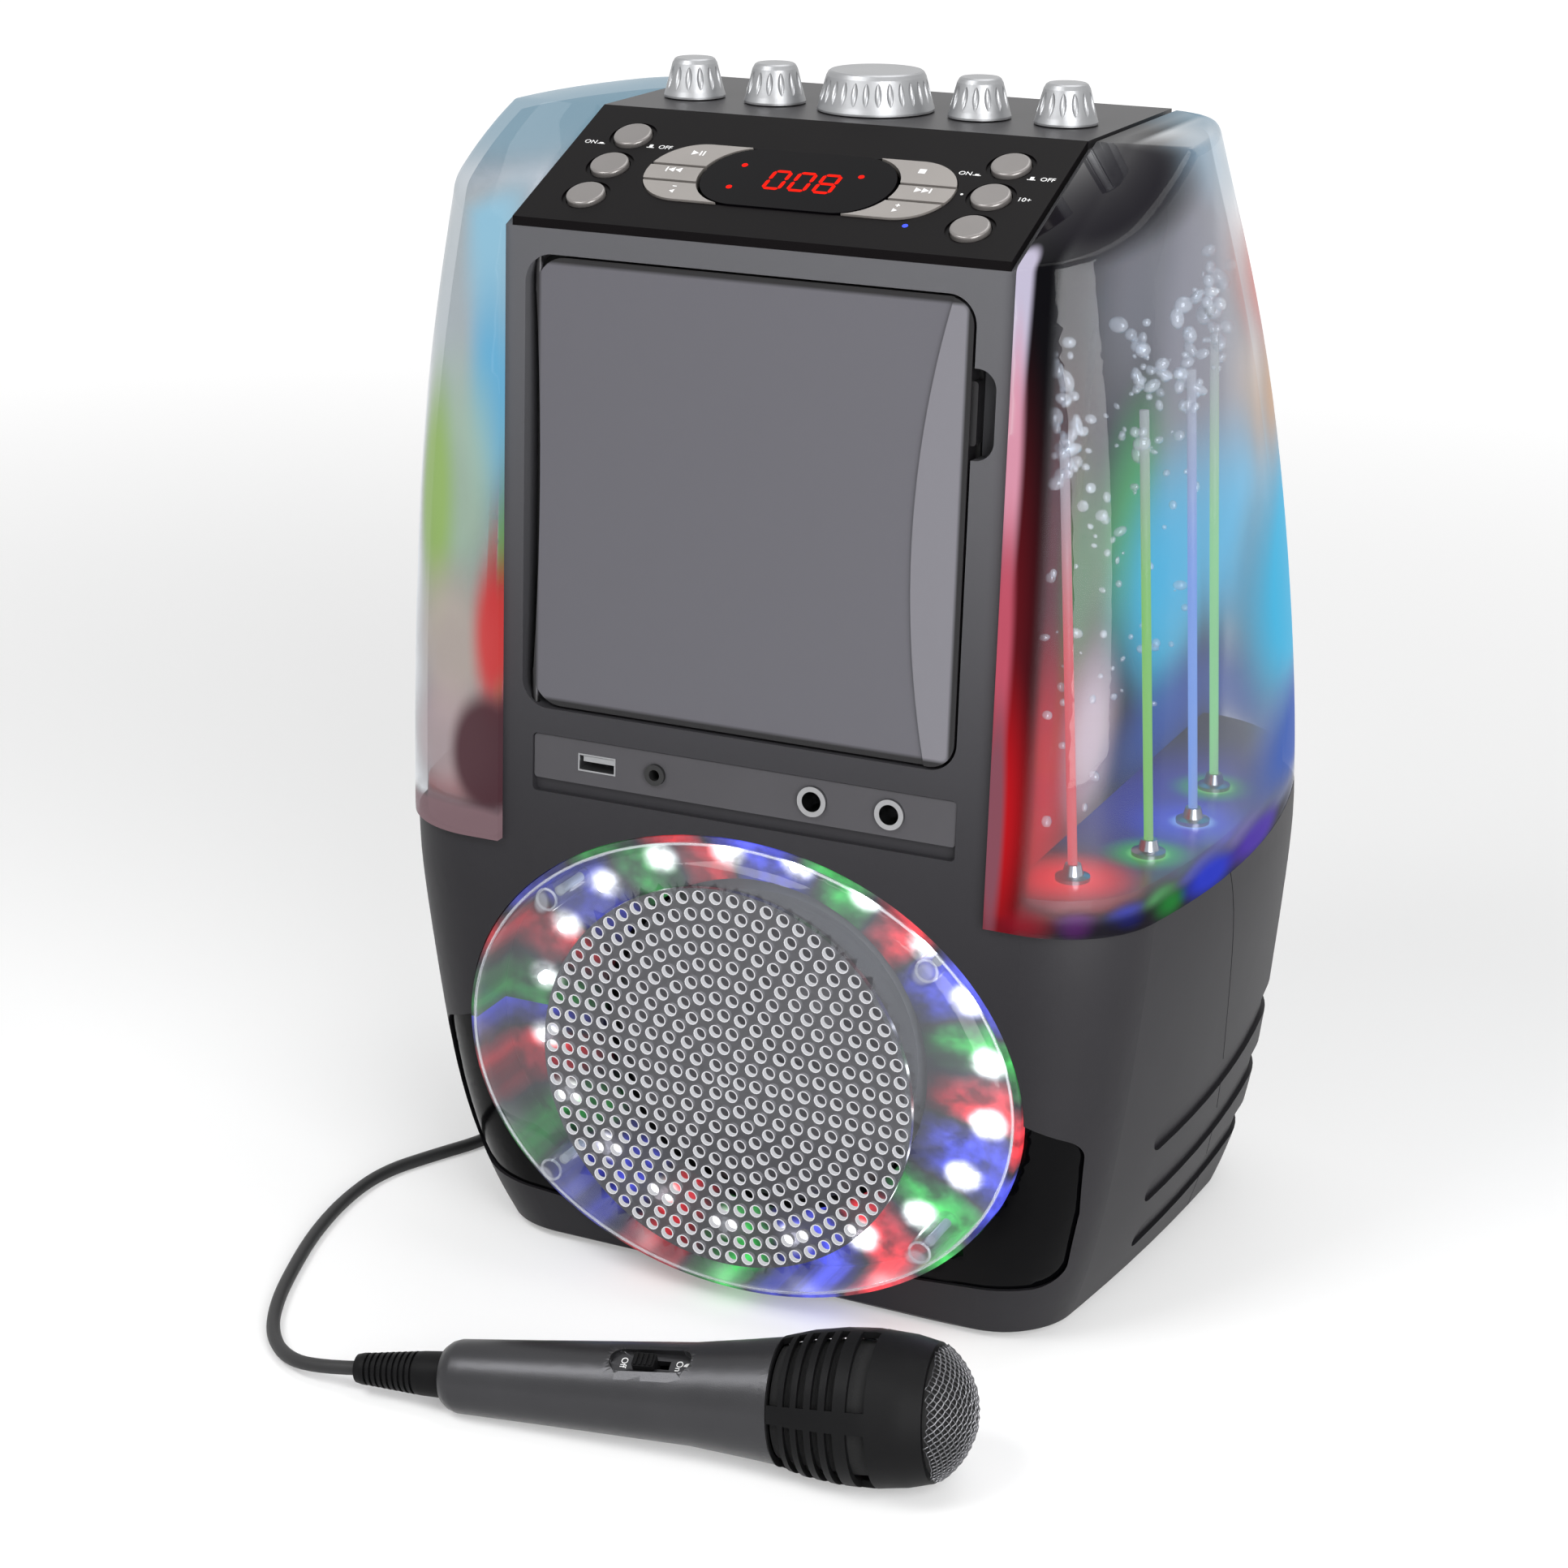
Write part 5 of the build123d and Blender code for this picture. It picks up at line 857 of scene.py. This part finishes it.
bpy.ops.object.mode_set(mode="OBJECT")
wires = net.modifiers.new("wires", "WIREFRAME")
wires.thickness = 0.62
wires.use_even_offset = False
bpy.ops.object.modifier_apply(modifier="wires")
settle(net, "mic_wire_net", MIC @ Matrix.Translation((0, 0, DOME_AT)), wire,
       frame["nodes"]["mic_grille"]["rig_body"])
bpy.ops.object.shade_smooth()
word("mic_on_word", "On", 3.0, MIC_FLANK, 74.6, 0.0, MIC_PLATE, -pi / 2)
word("mic_off_word", "Off", 3.0, MIC_FLANK, 57.2, 0.0, MIC_PLATE, -pi / 2)
half_moon = [(1.3 * cos(t), 1.3 * sin(t)) for t in [pi * i / 16 for i in range(17)]]
flat("mic_on_mark", [half_moon], MIC_FLANK, 77.4, 0.0, MIC_PLATE, ink)


# ---------------------------------------------------------------- studio
def softbox(name, place, aim, width, height, power):
    """A rectangular lamp that looks at a point."""
    data = bpy.data.lights.new(name, "AREA")
    data.shape = "RECTANGLE"
    data.size, data.size_y = width, height
    data.energy = power
    lamp = bpy.data.objects.new(name, data)
    bpy.context.scene.collection.objects.link(lamp)
    lamp.location = place
    lamp.rotation_euler = (Vector(aim) - Vector(place)).to_track_quat("-Z", "Y").to_euler()
    return lamp


softbox("key_softbox", (-0.40, -0.72, 1.05), (0, 0, 0.3), 0.6, 0.5, 7.5)
softbox("right_softbox", (0.62, -0.60, 0.42), (0.12, 0, 0.32), 0.56, 0.84, 11)
softbox("top_softbox", (0.2, 0.5, 1.9), (0, 0, 0.2), 1.4, 1.2, 13)

world = bpy.data.worlds.new("studio")
bpy.context.scene.world = world
world.use_nodes = True
air = world.node_tree
air.nodes.clear()
rays = add(air, "LightPath").outputs
seen = add(air, "Math", {0: rays["Is Camera Ray"], 1: rays["Is Transmission Ray"]}, operation="MAXIMUM")
seen = add(air, "Math", {0: seen.outputs[0], 1: rays["Is Glossy Ray"]}, operation="MAXIMUM")
around = add(air, "Background", {"Color": (1, 1, 1, 1), "Strength": 0.22})
backdrop = add(air, "Background", {"Color": (1, 1, 1, 1), "Strength": 1.0})
mixed = add(air, "MixShader", {"Fac": seen.outputs[0], 1: around.outputs[0], 2: backdrop.outputs[0]})
add(air, "OutputWorld", {"Surface": mixed.outputs[0]})

bpy.ops.mesh.primitive_plane_add(size=60.0, location=(0, 0, 0))
floor = active()
floor.name = "studio_floor"
paper, tree = new_finish("white_paper")
rays = add(tree, "LightPath").outputs
matt = add(tree, "BsdfDiffuse", {"Color": (0.7, 0.7, 0.7, 1)})
place = add(tree, "TexCoord").outputs["Object"]
away = add(tree, "VectorMath", {0: place}, operation="LENGTH")
pale = add(tree, "MapRange", {"Value": away.outputs["Value"], "From Min": 0.35, "From Max": 2.2,
                              "To Min": 0.3, "To Max": 0.92}, interpolation_type="SMOOTHSTEP")
lift = add(tree, "Emission", {"Color": (1, 1, 1, 1), "Strength": pale.outputs["Result"]})
lit = add(tree, "AddShader", {0: matt.outputs[0], 1: lift.outputs[0]})
seen = add(tree, "Math", {0: rays["Is Camera Ray"], 1: rays["Is Transmission Ray"]}, operation="MAXIMUM")
seen = add(tree, "Math", {0: seen.outputs[0], 1: rays["Is Glossy Ray"]}, operation="MAXIMUM")
both = add(tree, "MixShader", {"Fac": seen.outputs[0], 1: matt.outputs[0], 2: lit.outputs[0]})
add(tree, "OutputMaterial", {"Surface": both.outputs[0]})
floor.data.materials.append(paper)
